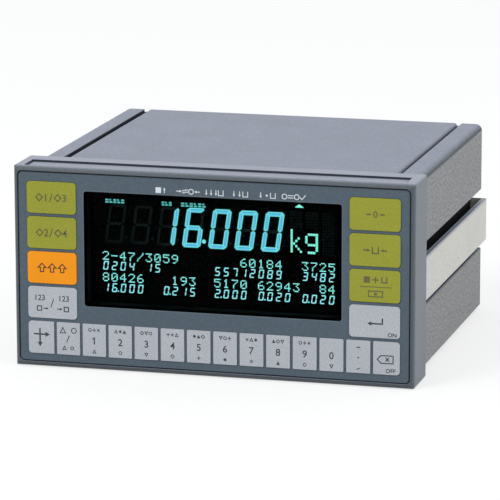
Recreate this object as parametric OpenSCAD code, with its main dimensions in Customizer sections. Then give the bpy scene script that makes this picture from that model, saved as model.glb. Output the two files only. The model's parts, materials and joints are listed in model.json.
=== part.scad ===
// Panel-mount weighing indicator: a moulded bezel with a key sheet and a window in front of a
// body of two extruded side walls, two slide-in covers and a rear panel, with what it holds.
// Origin: middle of the footprint, on the surface that it stands on.
// +X to the right of the display, +Y from the front to the rear, +Z up.

/* [Bezel] */
// Width of the bezel
bezel_w = 192; // [188:1:200]
// Height of the bezel
bezel_h = 96; // [94:1:102]
// Depth of the bezel, from its front to the face that seats on a panel
bezel_d = 25; // [24:0.5:32]
// Corner radius of the bezel, seen from the front
bezel_corner_r = 1.2; // [0.8:0.1:3]
// Rounding of the bezel's front edges
bezel_edge_r = 2.7; // [1.5:0.1:3]
// How far the bezel reaches past the body at each side
panel_lip_x = 3.5; // [2.8:0.1:4.5]
// How far the bezel reaches past the body at the top and the bottom
panel_lip_z = 2; // [1.6:0.1:3]
// How deep the body sits in the back of the bezel
socket_d = 4; // [2:0.5:5]
// Depth of the shallow step in the bezel's top face
step_depth = 1; // [0.4:0.1:1.2]
// Where the step begins, from the front
step_front_y = 2.3; // [2:0.1:4]
// Where the step ends, from the front
step_rear_y = 15.5; // [10:0.5:18]
// Distance of the step from the bezel's sides
step_side = 5; // [4:0.5:12]

/* [Key sheet] */
// Width of the bezel's rim beside the key sheet
rim_x = 2.4; // [2:0.1:3.4]
// Width of the bezel's rim above and below the key sheet
rim_z = 2.8; // [2.2:0.1:3.4]
// Gap round the key sheet
sheet_gap = 0.45; // [0.2:0.05:0.5]
// How far the key sheet lies behind the bezel's front
sheet_recess = 0.45; // [0.42:0.01:0.6]
// Thickness of the key sheet
sheet_t = 0.8; // [0.6:0.1:1]
// Corner radius of the key sheet
sheet_corner_r = 2; // [1:0.1:3]

/* [Keys] */
// Distance of the keys from the sheet's sides
key_margin_x = 4.3; // [3:0.1:6]
// Distance of the top keys from the sheet's top
key_margin_top = 4.4; // [3:0.1:6]
// Distance of the bottom row from the sheet's bottom
key_margin_bottom = 3.7; // [3:0.1:5]
// Width of a key in the side columns
side_key_w = 23.9; // [20:0.1:25]
// Gap between the keys of a column
column_gap = 1.6; // [1.4:0.1:2.4]
// Height of the keys in the bottom row
row_key_h = 15.5; // [14:0.1:16]
// Gap between the keys of the bottom row
row_gap = 1.35; // [1.3:0.05:2]
// Extra width of the two keys at the row's ends
row_end_extra = 1.2; // [0.5:0.1:2]
// Corner radius of the keys
key_corner_r = 1.7; // [0.8:0.1:2.4]
// How far a key stands out of the sheet
key_proud = 0.4; // [0.2:0.02:0.42]
// How far a key travels when it is pressed
key_travel = 0.4; // [0.2:0.05:0.45]
// Clearance between a key and the sheet's opening
key_clear = 0.15; // [0.1:0.05:0.2]

/* [Display] */
// Distance of the window from the key columns
window_side_gap = 3.7; // [3.4:0.1:8]
// Distance of the window from the bottom row
window_bottom_gap = 8.35; // [6:0.05:12]
// Distance of the window from the sheet's top
window_top_gap = 8.15; // [7:0.05:12]
// Corner radius of the window
window_corner_r = 1.2; // [0.6:0.1:2]
// Thickness of the window pane
window_t = 2.2; // [1.5:0.1:2.5]
// How far the display tube's front lies behind the bezel's front
tube_front_y = 8.6; // [8.2:0.1:9]
// Thickness of the display tube
tube_t = 7.4; // [6:0.1:8]

/* [Body] */
// Length of the body behind the bezel
body_len = 144.5; // [136:0.5:170]
// Width of the side walls' top and bottom strips
strip_w = 10.2; // [9.6:0.1:12]
// Width of the open groove between a strip and a cover
groove_w = 2.5; // [1:0.1:3]
// Wall thickness of the extrusions
wall_t = 2.5; // [2.2:0.1:3]
// Rounding of the body's upper long edges
body_edge_r = 3.2; // [2:0.1:5]
// Rounding of the body's lower long edges
body_low_r = 0.5; // [0.3:0.1:2]
// Thickness of the covers
cover_t = 2; // [1.5:0.1:2.4]
// Rounding of the covers' folded edges
cover_edge_r = 1.3; // [0.6:0.1:1.6]
// Height of the rail channel over and under mid-height
channel_h = 26; // [24:0.5:30]
// How much further the channel reaches below
channel_low_gap = 3.6; // [1:0.1:4]
// Depth of the rail channel
channel_d = 5.5; // [4.5:0.1:6.5]
// Rounding of the channel's upper lip
lip_r = 0.5; // [0.3:0.1:2.4]
// Radius of the screw ports' bores in the side walls
port_bore_r = 1.6; // [1.55:0.01:1.7]

/* [Slide rails] */
// Thickness of a rail
rail_t = 2.4; // [2:0.1:3.5]
// Height of a rail
rail_h = 21; // [20:0.1:23]
// How far a rail stands out of the side wall
rail_proud = 2.5; // [1.5:0.1:2.7]
// Rounding of a rail's rear corners, seen from the side
rail_corner_r = 2.8; // [1:0.1:3.4]
// Rounding of a rail's long outer edges
rail_edge_r = 0.5; // [0.3:0.1:0.8]
// Clearance of a rail in its channel
rail_gap = 0.3; // [0.2:0.05:0.4]
// Radius of the clamp screws' shanks
clamp_screw_r = 2; // [1.8:0.05:2.02]

/* [Rear] */
// Thickness of the rear panel
rear_t = 1.5; // [1.2:0.1:2]
// Distance of the rear panel's edge from the body's outline
rear_inset = 1.5; // [1:0.1:2]
// Depth of the terminal block behind the rear panel
terminal_d = 10; // [8.5:0.5:14]
// Number of terminals
terminal_count = 10; // [6:1:10]
// Distance between terminals
terminal_pitch = 5.08; // [4.6:0.02:5.2]
// Width of the power inlet's pocket
inlet_w = 24.4; // [24:0.1:25]
// Height of the power inlet's pocket
inlet_h = 16.4; // [16:0.1:17]
// Depth of the power inlet's pocket
inlet_d = 17; // [15:0.5:18]
// Inner radius of the load-cell connector's shell
socket_r = 6.4; // [6:0.1:6.8]
// Outer radius of the load-cell connector's shell
shell_r = 8; // [7.6:0.1:9]

/* [Hidden] */
$fn = 48;

// One overrun for every cut
cut = 1;
mid_z = bezel_h / 2;

// Body outline
body_w = bezel_w - 2 * panel_lip_x;
body_h = bezel_h - 2 * panel_lip_z;
body_front_y = bezel_d - socket_d;
body_rear_y = bezel_d + body_len;
socket_gap = 0.15;

// Front layers, from the front to the rear
sheet_front_y = sheet_recess;
sheet_back_y = sheet_front_y + sheet_t;
flange_gap = 0.1;
flange_t = 0.8;
flange_front_y = sheet_back_y + flange_gap;
flange_back_y = flange_front_y + flange_t;
key_room = 0.2;
pocket_y = flange_back_y + key_travel + key_room;
plate_floor_t = 1.4;
plate_back_y = pocket_y + plate_floor_t;
switch_gap = 0.25;
switch_h = 3.2;
switch_w = 6.2;
board_t = 1.6;
switch_front_y = plate_back_y + switch_gap;
key_board_y = switch_front_y + switch_h;
display_board_y = tube_front_y + tube_t;

// Key sheet and its openings
sheet_w = bezel_w - 2 * rim_x;
sheet_h = bezel_h - 2 * rim_z;
sheet_bottom = rim_z;
sheet_top = bezel_h - rim_z;

// Keys: the row and the columns
row_w = sheet_w - 2 * key_margin_x;
row_count = 14;
row_key_w = (row_w - (row_count - 1) * row_gap - 2 * row_end_extra) / row_count;
row_z = sheet_bottom + key_margin_bottom + row_key_h / 2;
row_top = row_z + row_key_h / 2;
column_count = 4;
column_bottom = row_top + column_gap;
column_h = sheet_top - key_margin_top - column_bottom;
side_key_h = (column_h - (column_count - 1) * column_gap) / column_count;
column_x = row_w / 2 - side_key_w / 2;
inner_corner_r = 0.4;
flange_edge = 0.3;
flange_clear = 0.25;
stem_r = 1.6;
stem_clear = 0.2;
stem_in = 0.8;
stem_room = 0.3;

// Window, shroud and tube
window_w = 2 * (column_x - side_key_w / 2 - window_side_gap);
window_bottom = row_top + window_bottom_gap;
window_h = sheet_top - window_top_gap - window_bottom;
window_z = window_bottom + window_h / 2;
window_sink = 0.05;
window_clear = 0.05;
shroud_wall = 1.4;
shroud_clear = 0.15;
shroud_ledge = 0.8;
tube_edge = 3;
tube_bottom_edge = 2;
tube_gap = 0.1;

// Bezel structure
bezel_wall_x = panel_lip_x + wall_t;
bezel_wall_z = panel_lip_z + wall_t;
port_r = 3.4;
port_root = 0.2;
port_u = wall_t + port_r - port_root;
port_v_inset = 21.2;
port_x = body_w / 2 - port_u;
port_v = body_h / 2 - port_v_inset;
post_r = 4.2;
screw_r = 1.5;
screw_hole_r = 1.7;
head_r = 2.9;
head_h = 2;
head_clear = 0.2;
recess_w = 0.9;
recess_share = 0.7;
front_screw_grip = 9;
boss_r = 2.6;
board_screw_r = 1.25;
board_hole_r = 1.4;
board_clear = 0.5;
board_half_w = bezel_w / 2 - bezel_wall_x - board_clear;

// Side wall profile: the cover slot, the channel and the runner's slot
ledge_t = 1.3;
slot_h = 1.6;
slot_in = 2.7;
tongue_t = 1.2;
tongue_in = 2.3;
fold_t = 1.5;
cover_half_w = body_w / 2 - strip_w - groove_w;
floor_t = 2.5;
channel_low = channel_h / 2 + channel_low_gap;
rail_v = -channel_h / 2 + rail_gap + rail_h / 2;
runner_neck_h = 6;
runner_head_h = 11;
runner_head_t = 2.5;
runner_end_gap = 6;
cavity_d = runner_head_t + 2 * rail_gap;
cavity_back_t = 2;
cavity_side_t = 1.5;
runner_u = channel_d + floor_t + rail_gap;
clamp_boss_r = 3.8;
clamp_root = 0.4;
clamp_u = channel_d + floor_t + cavity_d + cavity_back_t + clamp_boss_r - clamp_root;
clamp_bore_gap = 0.1;
clamp_hole_gap = 0.25;
clamp_grip = 11;
clamp_head_r = 3.8;
clamp_head_h = 2.6;

// Rails: at rest their ends leave room for a thin panel behind the bezel
thin_panel_t = 2.3;
rail_front_y = bezel_d + thin_panel_t;
tab_gap = 0.2;
rear_face_y = body_rear_y + rear_t;
tab_front_y = rear_face_y + tab_gap;
tab_rear_y = tab_front_y + rail_t;
tab_past = 4.5;
bend_r = 3.6;

// Rear panel and what sits on it
overall_d = rear_face_y + terminal_d;
rear_corner_r = 3.5;
notch_clear = 0.6;
vent_w = 2;
vent_h = 20;
vent_count = 7;
vent_pitch = 4;
cover_w = 17;
cover_h = 0.52 * body_h;
cover_plate_t = 1.2;
cover_pitch = 19.5;
cover_count = 3;
cover_screw_inset = 3.2;
opening_edge = 2.5;
opening_end = 6.5;
rear_screw_grip = 8;
inlet_flange_t = 2.5;
inlet_flange_edge = 3;
inlet_wall = 1.6;
inlet_chamfer = 4.2;
inlet_floor = 2;
inlet_corner_r = 1.5;
cutout_clear = 0.2;
blade_w = 2;
blade_h = 4;
blade_len = 13;
blade_pitch = 14;
blade_offset = 4;
fuse_collar_r = 8.5;
fuse_collar_t = 2;
fuse_body_r = 6.9;
fuse_bore_r = 5.2;
fuse_body_d = 30;
fuse_end_t = 2;
cap_r = 6.4;
cap_h = 5;
cap_gap = 0.3;
cap_fit = 0.1;
cap_stem_d = 8;
cap_slot_w = 1.2;
cap_slot_d = 1.6;
fuse_r = 2.5;
fuse_len = 17;
connector_flange = 22;
connector_flange_t = 2;
connector_d = 9;
connector_depth = 6;
connector_in = 12;
terminal_h = 13;
terminal_end = 2.6;
wire_r = 1.5;
wire_d = 7.5;
wire_drop = 2.6;
terminal_screw_r = 1.7;
terminal_screw_rise = 3.2;
terminal_screw_d = 4;
terminal_screw_sink = 0.6;
earth_r = 2;
earth_head_r = 3.8;

// Lower row on the rear panel: inlet, fuse and slot covers share the free width between them
rear_span = body_w - 2 * strip_w;
inlet_flange_w = inlet_w + 2 * (inlet_wall + inlet_flange_edge);
covers_w = (cover_count - 1) * cover_pitch + cover_w;
low_free = rear_span - inlet_flange_w - 2 * fuse_collar_r - covers_w;
inlet_x = -rear_span / 2 + 0.27 * low_free + inlet_flange_w / 2;
fuse_x = inlet_x + inlet_flange_w / 2 + 0.08 * low_free + fuse_collar_r;
cover_x = fuse_x + fuse_collar_r + 0.22 * low_free + cover_w / 2;
inlet_z = panel_lip_z + body_h / 4;
fuse_z = inlet_z;
cover_z = panel_lip_z + 0.35 * body_h;
earth_x = inlet_x - inlet_w / 3;
earth_z = mid_z;

// Upper row: connector, vents and terminals share the free width in the same way
vents_w = (vent_count - 1) * vent_pitch + vent_w;
terminal_w = terminal_count * terminal_pitch + 2 * terminal_end;
high_free = rear_span - connector_flange - vents_w - terminal_w;
connector_x = -rear_span / 2 + 0.35 * high_free + connector_flange / 2;
vent_x = connector_x + connector_flange / 2 + 0.13 * high_free + vents_w / 2;
terminal_x = vent_x + vents_w / 2 + 0.25 * high_free + terminal_w / 2;
connector_z = panel_lip_z + 0.74 * body_h;
vent_z = panel_lip_z + 0.77 * body_h;
terminal_z = vent_z;

// Inside
foot_r = 7;
foot_side = 26.5;
foot_x = body_w / 2 - foot_side;
foot_inset = 22;
standoff_h = 8;
standoff_r = 3;
main_side_gap = 6.3;
main_front_gap = 17;
main_rear_gap = 22;
main_x0 = -body_w / 13;
main_x1 = body_w / 2 - strip_w - main_side_gap;
main_y0 = bezel_d + main_front_gap;
main_inset = 5;
chip_h = 3;
header_w = 32;
header_t = 6;
header_h = 6;
ribbon_w = 30;
ribbon_t = 1;
ribbon_z = 42;
ribbon_bend_r = 10;
ribbon_x = body_w / 6;
core_x = -body_w / 4;
core_y = bezel_d + body_len / 2;
core_w = 24;
core_len = 52;
core_h = 42;
core_leg = 9;
winding_gap = 0.3;
winding_overhang = 8;
capacitor_r = 9;
capacitor_h = 26;
capacitor_pitch = 21;

// Colours
paint = [0.60, 0.63, 0.68];
slate = [0.34, 0.40, 0.43];
olive = [0.62, 0.64, 0.22];
orange = [0.98, 0.60, 0.08];
pale = [0.74, 0.76, 0.79];
bright = [0.80, 0.79, 0.76];
dark = [0.05, 0.06, 0.07];
laminate = [0.10, 0.36, 0.22];

// Helpers

module home() {
    translate([0, -overall_d / 2, 0]) children();
}

// Extrudes an outline drawn in x and z from one depth to another
module along_y(y0, y1) {
    translate([0, y1, 0]) rotate([90, 0, 0]) linear_extrude(y1 - y0) children();
}

module pin_y(x, z, y0, y1, r) {
    translate([x, y1, z]) rotate([90, 0, 0]) cylinder(h = y1 - y0, r = r);
}

module box(x0, x1, y0, y1, z0, z1) {
    translate([x0, y0, z0]) cube([x1 - x0, y1 - y0, z1 - z0]);
}

// Rectangle about the origin with round corners
module round_rect(w, h, r) {
    square([w, h - 2 * r], center = true);
    square([w - 2 * r, h], center = true);
    for (sx = [-1, 1], sz = [-1, 1])
        translate([sx * (w / 2 - r), sz * (h / 2 - r)]) circle(r);
}

// What a round corner at the origin takes off, with the solid towards +x and +y
module corner_cut(r) {
    difference() {
        translate([-cut, -cut]) square(r + cut);
        translate([r, r]) circle(r);
        translate([r, -2 * cut]) square(r + 2 * cut);
    }
}

// Pan-head screw along y: its head stands at seat_y and points to -y if facing is -1
module screw_y(x, z, seat_y, facing, shank, r, hr, hh) {
    head0 = facing < 0 ? seat_y - hh : seat_y;
    tip0 = facing < 0 ? seat_y : seat_y - shank;
    drive0 = facing < 0 ? head0 - cut : seat_y + hh * recess_share;
    difference() {
        union() {
            pin_y(x, z, head0, head0 + hh, hr);
            pin_y(x, z, tip0, tip0 + shank, r);
        }
        for (turn = [0, 90])
            translate([x, drive0, z]) rotate([0, turn, 0])
                translate([-hr * recess_share, 0, -recess_w / 2])
                    cube([2 * hr * recess_share, cut + hh * (1 - recess_share), recess_w]);
    }
}

// Bezel

// Block with round corners in the front view and rounded front edges, lying on y = 0
module soft_block(w, h, d, corner, edge) {
    module edge_profile(half) {
        difference() {
            translate([-half, 0]) square([2 * half, d]);
            for (side = [-1, 1])
                scale([side, 1]) translate([-half, 0]) corner_cut(edge);
        }
    }
    intersection() {
        translate([0, 0, -h / 2]) linear_extrude(h) edge_profile(w / 2);
        rotate([0, 90, 0]) translate([0, 0, -w / 2]) linear_extrude(w) edge_profile(h / 2);
        along_y(0, d) round_rect(w, h, corner);
    }
}

module key_pockets() {
    out = flange_edge + flange_clear;
    for (side = [-1, 1])
        translate([side * column_x, (column_bottom + column_h + row_z) / 2])
            square([side_key_w + 2 * out, column_bottom + column_h - row_z + 2 * out],
                center = true);
    translate([0, row_z]) square([row_w + 2 * out, row_key_h + 2 * out], center = true);
}

module stem_holes() {
    for (p = key_places())
        pin_y(p[0], p[1], pocket_y - cut, plate_back_y + cut, stem_r + stem_clear);
}

// Centres of all keys: both columns from the top down, then the row from the left
function key_places() = concat(
    [for (i = [0 : column_count - 1]) [-column_x, side_key_z(i)]],
    [for (i = [0 : column_count - 1]) [column_x, side_key_z(i)]],
    [for (i = [0 : row_count - 1]) [row_key_x(i), row_z]]);
function side_key_z(i) = sheet_top - key_margin_top - side_key_h / 2
    - i * (side_key_h + column_gap);
function row_key_size(i) = row_key_w + ((i == 0 || i == row_count - 1) ? row_end_extra : 0);
function row_key_x(i) = i == 0 ? -row_w / 2 + row_key_size(0) / 2
    : i == row_count - 1 ? row_w / 2 - row_key_size(0) / 2
    : -row_w / 2 + row_key_size(0) + row_gap + (i - 1) * (row_key_w + row_gap) + row_key_w / 2;

// Centres of the four bosses between the side keys
function boss_places() = [for (side = [-1, 1], i = [0, 2])
    [side * column_x, (side_key_z(i) + side_key_z(i + 1)) / 2]];
// Centres of the four screw ports
function port_places() = [for (sx = [-1, 1], sz = [-1, 1]) [sx * port_x, mid_z + sz * port_v]];

module front_bezel() {
    inner_w = bezel_w - 2 * bezel_wall_x;
    inner_h = bezel_h - 2 * bezel_wall_z;
    opening = shroud_wall + shroud_clear;
    color(paint) home() difference() {
        union() {
            difference() {
                translate([0, 0, mid_z])
                    soft_block(bezel_w, bezel_h, bezel_d, bezel_corner_r, bezel_edge_r);
                along_y(plate_back_y, bezel_d + cut) translate([0, mid_z])
                    square([inner_w, inner_h], center = true);
            }
            for (p = port_places()) pin_y(p[0], p[1], plate_back_y - cut, body_front_y, post_r);
            for (p = boss_places()) pin_y(p[0], p[1], plate_back_y - cut, key_board_y, boss_r);
        }
        along_y(body_front_y, bezel_d + cut) translate([0, mid_z])
            body_outline(socket_gap);
        along_y(-cut, sheet_back_y) translate([0, mid_z])
            round_rect(sheet_w + 2 * sheet_gap, sheet_h + 2 * sheet_gap, sheet_corner_r + sheet_gap);
        along_y(sheet_back_y - cut, pocket_y) key_pockets();
        along_y(0, plate_back_y + cut) translate([0, window_z])
            round_rect(window_w + 2 * opening, window_h + 2 * opening, window_corner_r + opening);
        stem_holes();
        for (p = port_places()) {
            pin_y(p[0], p[1], 0, pocket_y + head_clear + head_h, head_r + head_clear);
            pin_y(p[0], p[1], 0, body_front_y + cut, screw_hole_r);
        }
        for (p = boss_places()) pin_y(p[0], p[1], pocket_y + cut / 2, key_board_y + cut, board_hole_r);
        box(-bezel_w / 2 + step_side, bezel_w / 2 - step_side, step_front_y, step_rear_y,
            bezel_h - step_depth, bezel_h + cut);
    }
}

module bezel_screws() {
    seat = pocket_y + head_clear + head_h;
    color(bright) home() for (p = port_places())
        screw_y(p[0], p[1], seat, -1, body_front_y - seat + front_screw_grip, screw_r, head_r,
            head_h);
}

// Keys and their sheet

module side_key_shape(out = 0) {
    round_rect(side_key_w + 2 * out, side_key_h + 2 * out, key_corner_r + out);
}

// Key of the bottom row: only the outer corners of the row's two end keys are round
module row_key_shape(i, out = 0) {
    w = row_key_size(i) + 2 * out;
    h = row_key_h + 2 * out;
    outer = i == 0 ? -1 : 1;
    if (i > 0 && i < row_count - 1) {
        round_rect(w, h, inner_corner_r + out);
    } else {
        round_rect(w, h, key_corner_r + out);
        translate([-outer * w / 4, 0]) round_rect(w / 2, h, inner_corner_r + out);
    }
}

// Cap, flange behind the sheet and stem of one key, whose outline is the child
module key_body(x, z) {
    travel_end = switch_front_y + stem_in;
    along_y(sheet_front_y - key_proud, flange_back_y) translate([x, z]) children(0);
    along_y(flange_front_y, flange_back_y) translate([x, z]) children(1);
    pin_y(x, z, flange_back_y - flange_t / 2, travel_end, stem_r);
}

module side_key(side, i, tint) {
    color(tint) home() key_body(side * column_x, side_key_z(i)) {
        side_key_shape();
        side_key_shape(flange_edge);
    }
}

module row_key(i) {
    color(pale) home() key_body(row_key_x(i), row_z) {
        row_key_shape(i);
        row_key_shape(i, flange_edge);
    }
}

module key_function_1() side_key(-1, 0, olive);
module key_function_2() side_key(-1, 1, olive);
module key_shift() side_key(-1, 2, orange);
module key_code() side_key(-1, 3, pale);
module key_zero() side_key(1, 0, olive);
module key_tare() side_key(1, 1, olive);
module key_net() side_key(1, 2, olive);
module key_on() side_key(1, 3, pale);
module key_cursor() row_key(0);
module key_letters() row_key(1);
module key_1() row_key(2);
module key_2() row_key(3);
module key_3() row_key(4);
module key_4() row_key(5);
module key_5() row_key(6);
module key_6() row_key(7);
module key_7() row_key(8);
module key_8() row_key(9);
module key_9() row_key(10);
module key_0() row_key(11);
module key_sign() row_key(12);
module key_off() row_key(13);

module key_sheet() {
    color(slate) home() along_y(sheet_front_y, sheet_back_y) difference() {
        translate([0, mid_z]) round_rect(sheet_w, sheet_h, sheet_corner_r);
        translate([0, window_z]) round_rect(window_w, window_h, window_corner_r);
        for (side = [-1, 1], i = [0 : column_count - 1])
            translate([side * column_x, side_key_z(i)]) side_key_shape(key_clear);
        for (i = [0 : row_count - 1]) translate([row_key_x(i), row_z]) row_key_shape(i, key_clear);
    }
}

module key_switches() {
    color(dark) home() for (p = key_places()) difference() {
        box(p[0] - switch_w / 2, p[0] + switch_w / 2, switch_front_y, key_board_y,
            p[1] - switch_w / 2, p[1] + switch_w / 2);
        pin_y(p[0], p[1], switch_front_y - cut, switch_front_y + stem_in + key_travel + stem_room,
            stem_r + stem_clear);
    }
}

// Screw holes and the notches round the bezel's posts in a board that lies at y
module front_board_holes(y) {
    for (p = boss_places()) pin_y(p[0], p[1], y - cut, y + board_t + cut, board_hole_r);
    for (p = port_places()) pin_y(p[0], p[1], y - cut, y + board_t + cut, post_r + board_clear);
}

module key_board() {
    bottom = bezel_wall_z + board_clear;
    top = bezel_h - bezel_wall_z - board_clear;
    color(laminate) home() difference() {
        box(-board_half_w, board_half_w, key_board_y, key_board_y + board_t, bottom, top);
        box(-window_w / 2 - tube_edge - board_clear, window_w / 2 + tube_edge + board_clear,
            key_board_y - cut, key_board_y + board_t + cut,
            window_bottom - tube_bottom_edge - board_clear,
            window_bottom + window_h + tube_bottom_edge + board_clear);
        front_board_holes(key_board_y);
    }
}

// Display

module display_window() {
    color([0.04, 0.05, 0.06, 0.6]) home()
        along_y(sheet_front_y + window_sink, sheet_front_y + window_sink + window_t)
            translate([0, window_z]) round_rect(window_w - 2 * window_clear,
                window_h - 2 * window_clear, window_corner_r - window_clear);
}

module display_shroud() {
    pane_back_y = sheet_front_y + window_sink + window_t;
    color(dark) home() difference() {
        along_y(sheet_back_y, tube_front_y - tube_gap) translate([0, window_z])
            round_rect(window_w + 2 * shroud_wall, window_h + 2 * shroud_wall,
                window_corner_r + shroud_wall);
        along_y(sheet_back_y - cut, pane_back_y) translate([0, window_z])
            round_rect(window_w, window_h, window_corner_r);
        along_y(pane_back_y - cut, tube_front_y + cut) translate([0, window_z])
            square([window_w - 2 * shroud_ledge, window_h - 2 * shroud_ledge], center = true);
    }
}

module display_tube() {
    color([0.03, 0.04, 0.05]) home() box(-window_w / 2 - tube_edge, window_w / 2 + tube_edge,
        tube_front_y, display_board_y, window_bottom - tube_bottom_edge,
        window_bottom + window_h + tube_bottom_edge);
}

module display_board() {
    bottom = bezel_wall_z + board_clear;
    top = bezel_h - bezel_wall_z - board_clear;
    color(laminate) home() difference() {
        box(-board_half_w, board_half_w, display_board_y, display_board_y + board_t, bottom, top);
        front_board_holes(display_board_y);
    }
}

module display_spacers() {
    color(bright) home() for (p = boss_places()) difference() {
        pin_y(p[0], p[1], key_board_y + board_t, display_board_y, boss_r);
        pin_y(p[0], p[1], key_board_y, display_board_y + cut, board_hole_r);
    }
}

// Body

// Outline of the body seen from the front: round above, nearly sharp below
module body_outline(out) {
    round_rect(body_w + 2 * out, body_h + 2 * out, body_edge_r);
    translate([0, -body_h / 4]) round_rect(body_w + 2 * out, body_h / 2 + 2 * out, body_low_r);
}

// Wall profile in the plane across the body: x runs inwards from the wall's outer face and
// y up from mid-height
module wall_profile() {
    half = body_h / 2;
    neck_h = runner_neck_h + 2 * rail_gap;
    head_gap_h = runner_head_h + 2 * rail_gap;
    module chamber(start, edge) {
        difference() {
            translate([0, start]) square([strip_w, half - start]);
            translate([wall_t, start + wall_t]) square([strip_w, half - start - 2 * wall_t]);
            translate([0, half]) mirror([0, 1]) corner_cut(edge);
            translate([0, start]) corner_cut(lip_r);
        }
        difference() {
            translate([strip_w - slot_in - ledge_t, half - wall_t - slot_h - ledge_t])
                square([slot_in + ledge_t, slot_h + ledge_t + wall_t / 2]);
            translate([strip_w - slot_in, half - wall_t - slot_h]) square([slot_in + cut, slot_h]);
        }
        translate([port_u, port_v]) circle(port_r);
    }
    difference() {
        union() {
            chamber(channel_h / 2, body_edge_r);
            mirror([0, 1]) chamber(channel_low, body_low_r);
            translate([channel_d, -channel_low - wall_t])
                square([floor_t, channel_low + channel_h / 2 + 2 * wall_t]);
            translate([channel_d, rail_v - head_gap_h / 2 - cavity_side_t])
                square([floor_t + cavity_d + cavity_back_t, head_gap_h + 2 * cavity_side_t]);
            translate([clamp_u, rail_v]) circle(clamp_boss_r);
        }
        translate([channel_d - cut, rail_v - neck_h / 2]) square([floor_t + 2 * cut, neck_h]);
        translate([channel_d + floor_t, rail_v - head_gap_h / 2]) square([cavity_d, head_gap_h]);
        translate([clamp_u, rail_v]) circle(clamp_screw_r + clamp_bore_gap);
        for (s = [-1, 1]) translate([port_u, s * port_v]) circle(port_bore_r);
    }
}

module left_side_wall() {
    color(paint) home() along_y(body_front_y, body_rear_y)
        translate([-body_w / 2, mid_z]) wall_profile();
}

module right_side_wall() {
    color(paint) home() along_y(body_front_y, body_rear_y)
        translate([body_w / 2, mid_z]) mirror([1, 0]) wall_profile();
}

// Cover profile: a sheet whose folded sides carry the tongues that run in the walls' slots
module cover_profile() {
    half = body_h / 2;
    tongue_low = half - wall_t - slot_h / 2 - tongue_t / 2;
    tongue_out = body_w / 2 - strip_w + tongue_in;
    difference() {
        union() {
            translate([-cover_half_w, half - cover_t]) square([2 * cover_half_w, cover_t]);
            for (s = [-1, 1]) scale([s, 1]) {
                translate([cover_half_w - fold_t, tongue_low]) square([fold_t, half - tongue_low]);
                translate([cover_half_w - fold_t, tongue_low])
                    square([tongue_out - cover_half_w + fold_t, tongue_t]);
            }
        }
        for (s = [-1, 1]) scale([s, 1]) translate([-cover_half_w, half]) mirror([0, 1])
            corner_cut(cover_edge_r);
    }
}

module top_cover() {
    color(paint) home() along_y(body_front_y, body_rear_y)
        translate([0, mid_z]) cover_profile();
}

module bottom_cover() {
    color(paint) home() along_y(body_front_y, body_rear_y)
        translate([0, mid_z]) mirror([0, 1]) cover_profile();
}

module rubber_feet() {
    color([0.12, 0.12, 0.13]) home()
        for (sx = [-1, 1], y = [bezel_d + foot_inset, body_rear_y - foot_inset])
            translate([sx * foot_x, y, 0]) cylinder(h = panel_lip_z, r1 = foot_r - panel_lip_z / 2,
                r2 = foot_r);
}

// Slide rails

// Rail on the right: a bar bent round the rear corner, with a runner in the wall's slot
module rail_shape() {
    outer_u = -rail_proud;
    tab_u = clamp_u + tab_past;
    low_z = mid_z + rail_v - rail_h / 2;
    difference() {
        translate([0, 0, low_z]) intersection() {
            linear_extrude(rail_h) difference() {
                union() {
                    translate([outer_u, rail_front_y]) square([rail_t, tab_rear_y - rail_front_y]);
                    translate([outer_u, tab_front_y]) square([tab_u - outer_u, rail_t]);
                }
                translate([outer_u, tab_rear_y]) mirror([0, 1]) corner_cut(bend_r);
            }
            along_y(rail_front_y, tab_rear_y) translate([outer_u, 0]) difference() {
                square([tab_u - outer_u, rail_h]);
                corner_cut(rail_edge_r);
                translate([0, rail_h]) mirror([0, 1]) corner_cut(rail_edge_r);
            }
            translate([outer_u, 0, 0]) rotate([90, 0, 90]) linear_extrude(tab_u - outer_u)
                difference() {
                    translate([rail_front_y, 0]) square([tab_rear_y - rail_front_y, rail_h]);
                    translate([tab_rear_y, 0]) mirror([1, 0]) corner_cut(rail_corner_r);
                    translate([tab_rear_y, rail_h]) mirror([1, 0]) mirror([0, 1])
                        corner_cut(rail_corner_r);
                }
        }
        pin_y(clamp_u, mid_z + rail_v, tab_front_y - cut, tab_rear_y + cut,
            clamp_screw_r + clamp_bore_gap);
    }
    along_y(rail_front_y + runner_end_gap, body_rear_y - runner_end_gap)
        translate([0, mid_z + rail_v]) {
            translate([outer_u + rail_t / 2, -runner_neck_h / 2])
                square([runner_u - outer_u - rail_t / 2, runner_neck_h]);
            translate([runner_u, -runner_head_h / 2]) square([runner_head_t, runner_head_h]);
        }
}

module rail_screw_shape() {
    screw_y(clamp_u, mid_z + rail_v, tab_rear_y, 1, rail_t + clamp_grip, clamp_screw_r,
        clamp_head_r, clamp_head_h);
}

module left_rail() color(bright) home() translate([-body_w / 2, 0, 0]) rail_shape();
module right_rail() color(bright) home() translate([body_w / 2, 0, 0]) mirror([1, 0, 0])
    rail_shape();
module left_rail_screw() color(pale) home() translate([-body_w / 2, 0, 0]) rail_screw_shape();
module right_rail_screw() color(pale) home() translate([body_w / 2, 0, 0]) mirror([1, 0, 0])
    rail_screw_shape();

// Rear panel

function cover_places() = [for (i = [0 : cover_count - 1]) cover_x + i * cover_pitch];
function cover_screw_places() = [for (x = cover_places(), s = [-1, 1])
    [x, cover_z + s * (cover_h / 2 - cover_screw_inset)]];
function terminal_places() = [for (i = [0 : terminal_count - 1])
    terminal_x + (i - (terminal_count - 1) / 2) * terminal_pitch];

// Pocket outline of the power inlet: its two upper corners are cut off
module inlet_outline(out = 0) {
    half_w = inlet_w / 2 + out;
    half_h = inlet_h / 2 + out;
    polygon([[-half_w, -half_h], [half_w, -half_h], [half_w, half_h - inlet_chamfer],
        [half_w - inlet_chamfer, half_h], [inlet_chamfer - half_w, half_h],
        [-half_w, half_h - inlet_chamfer]]);
}

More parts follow.
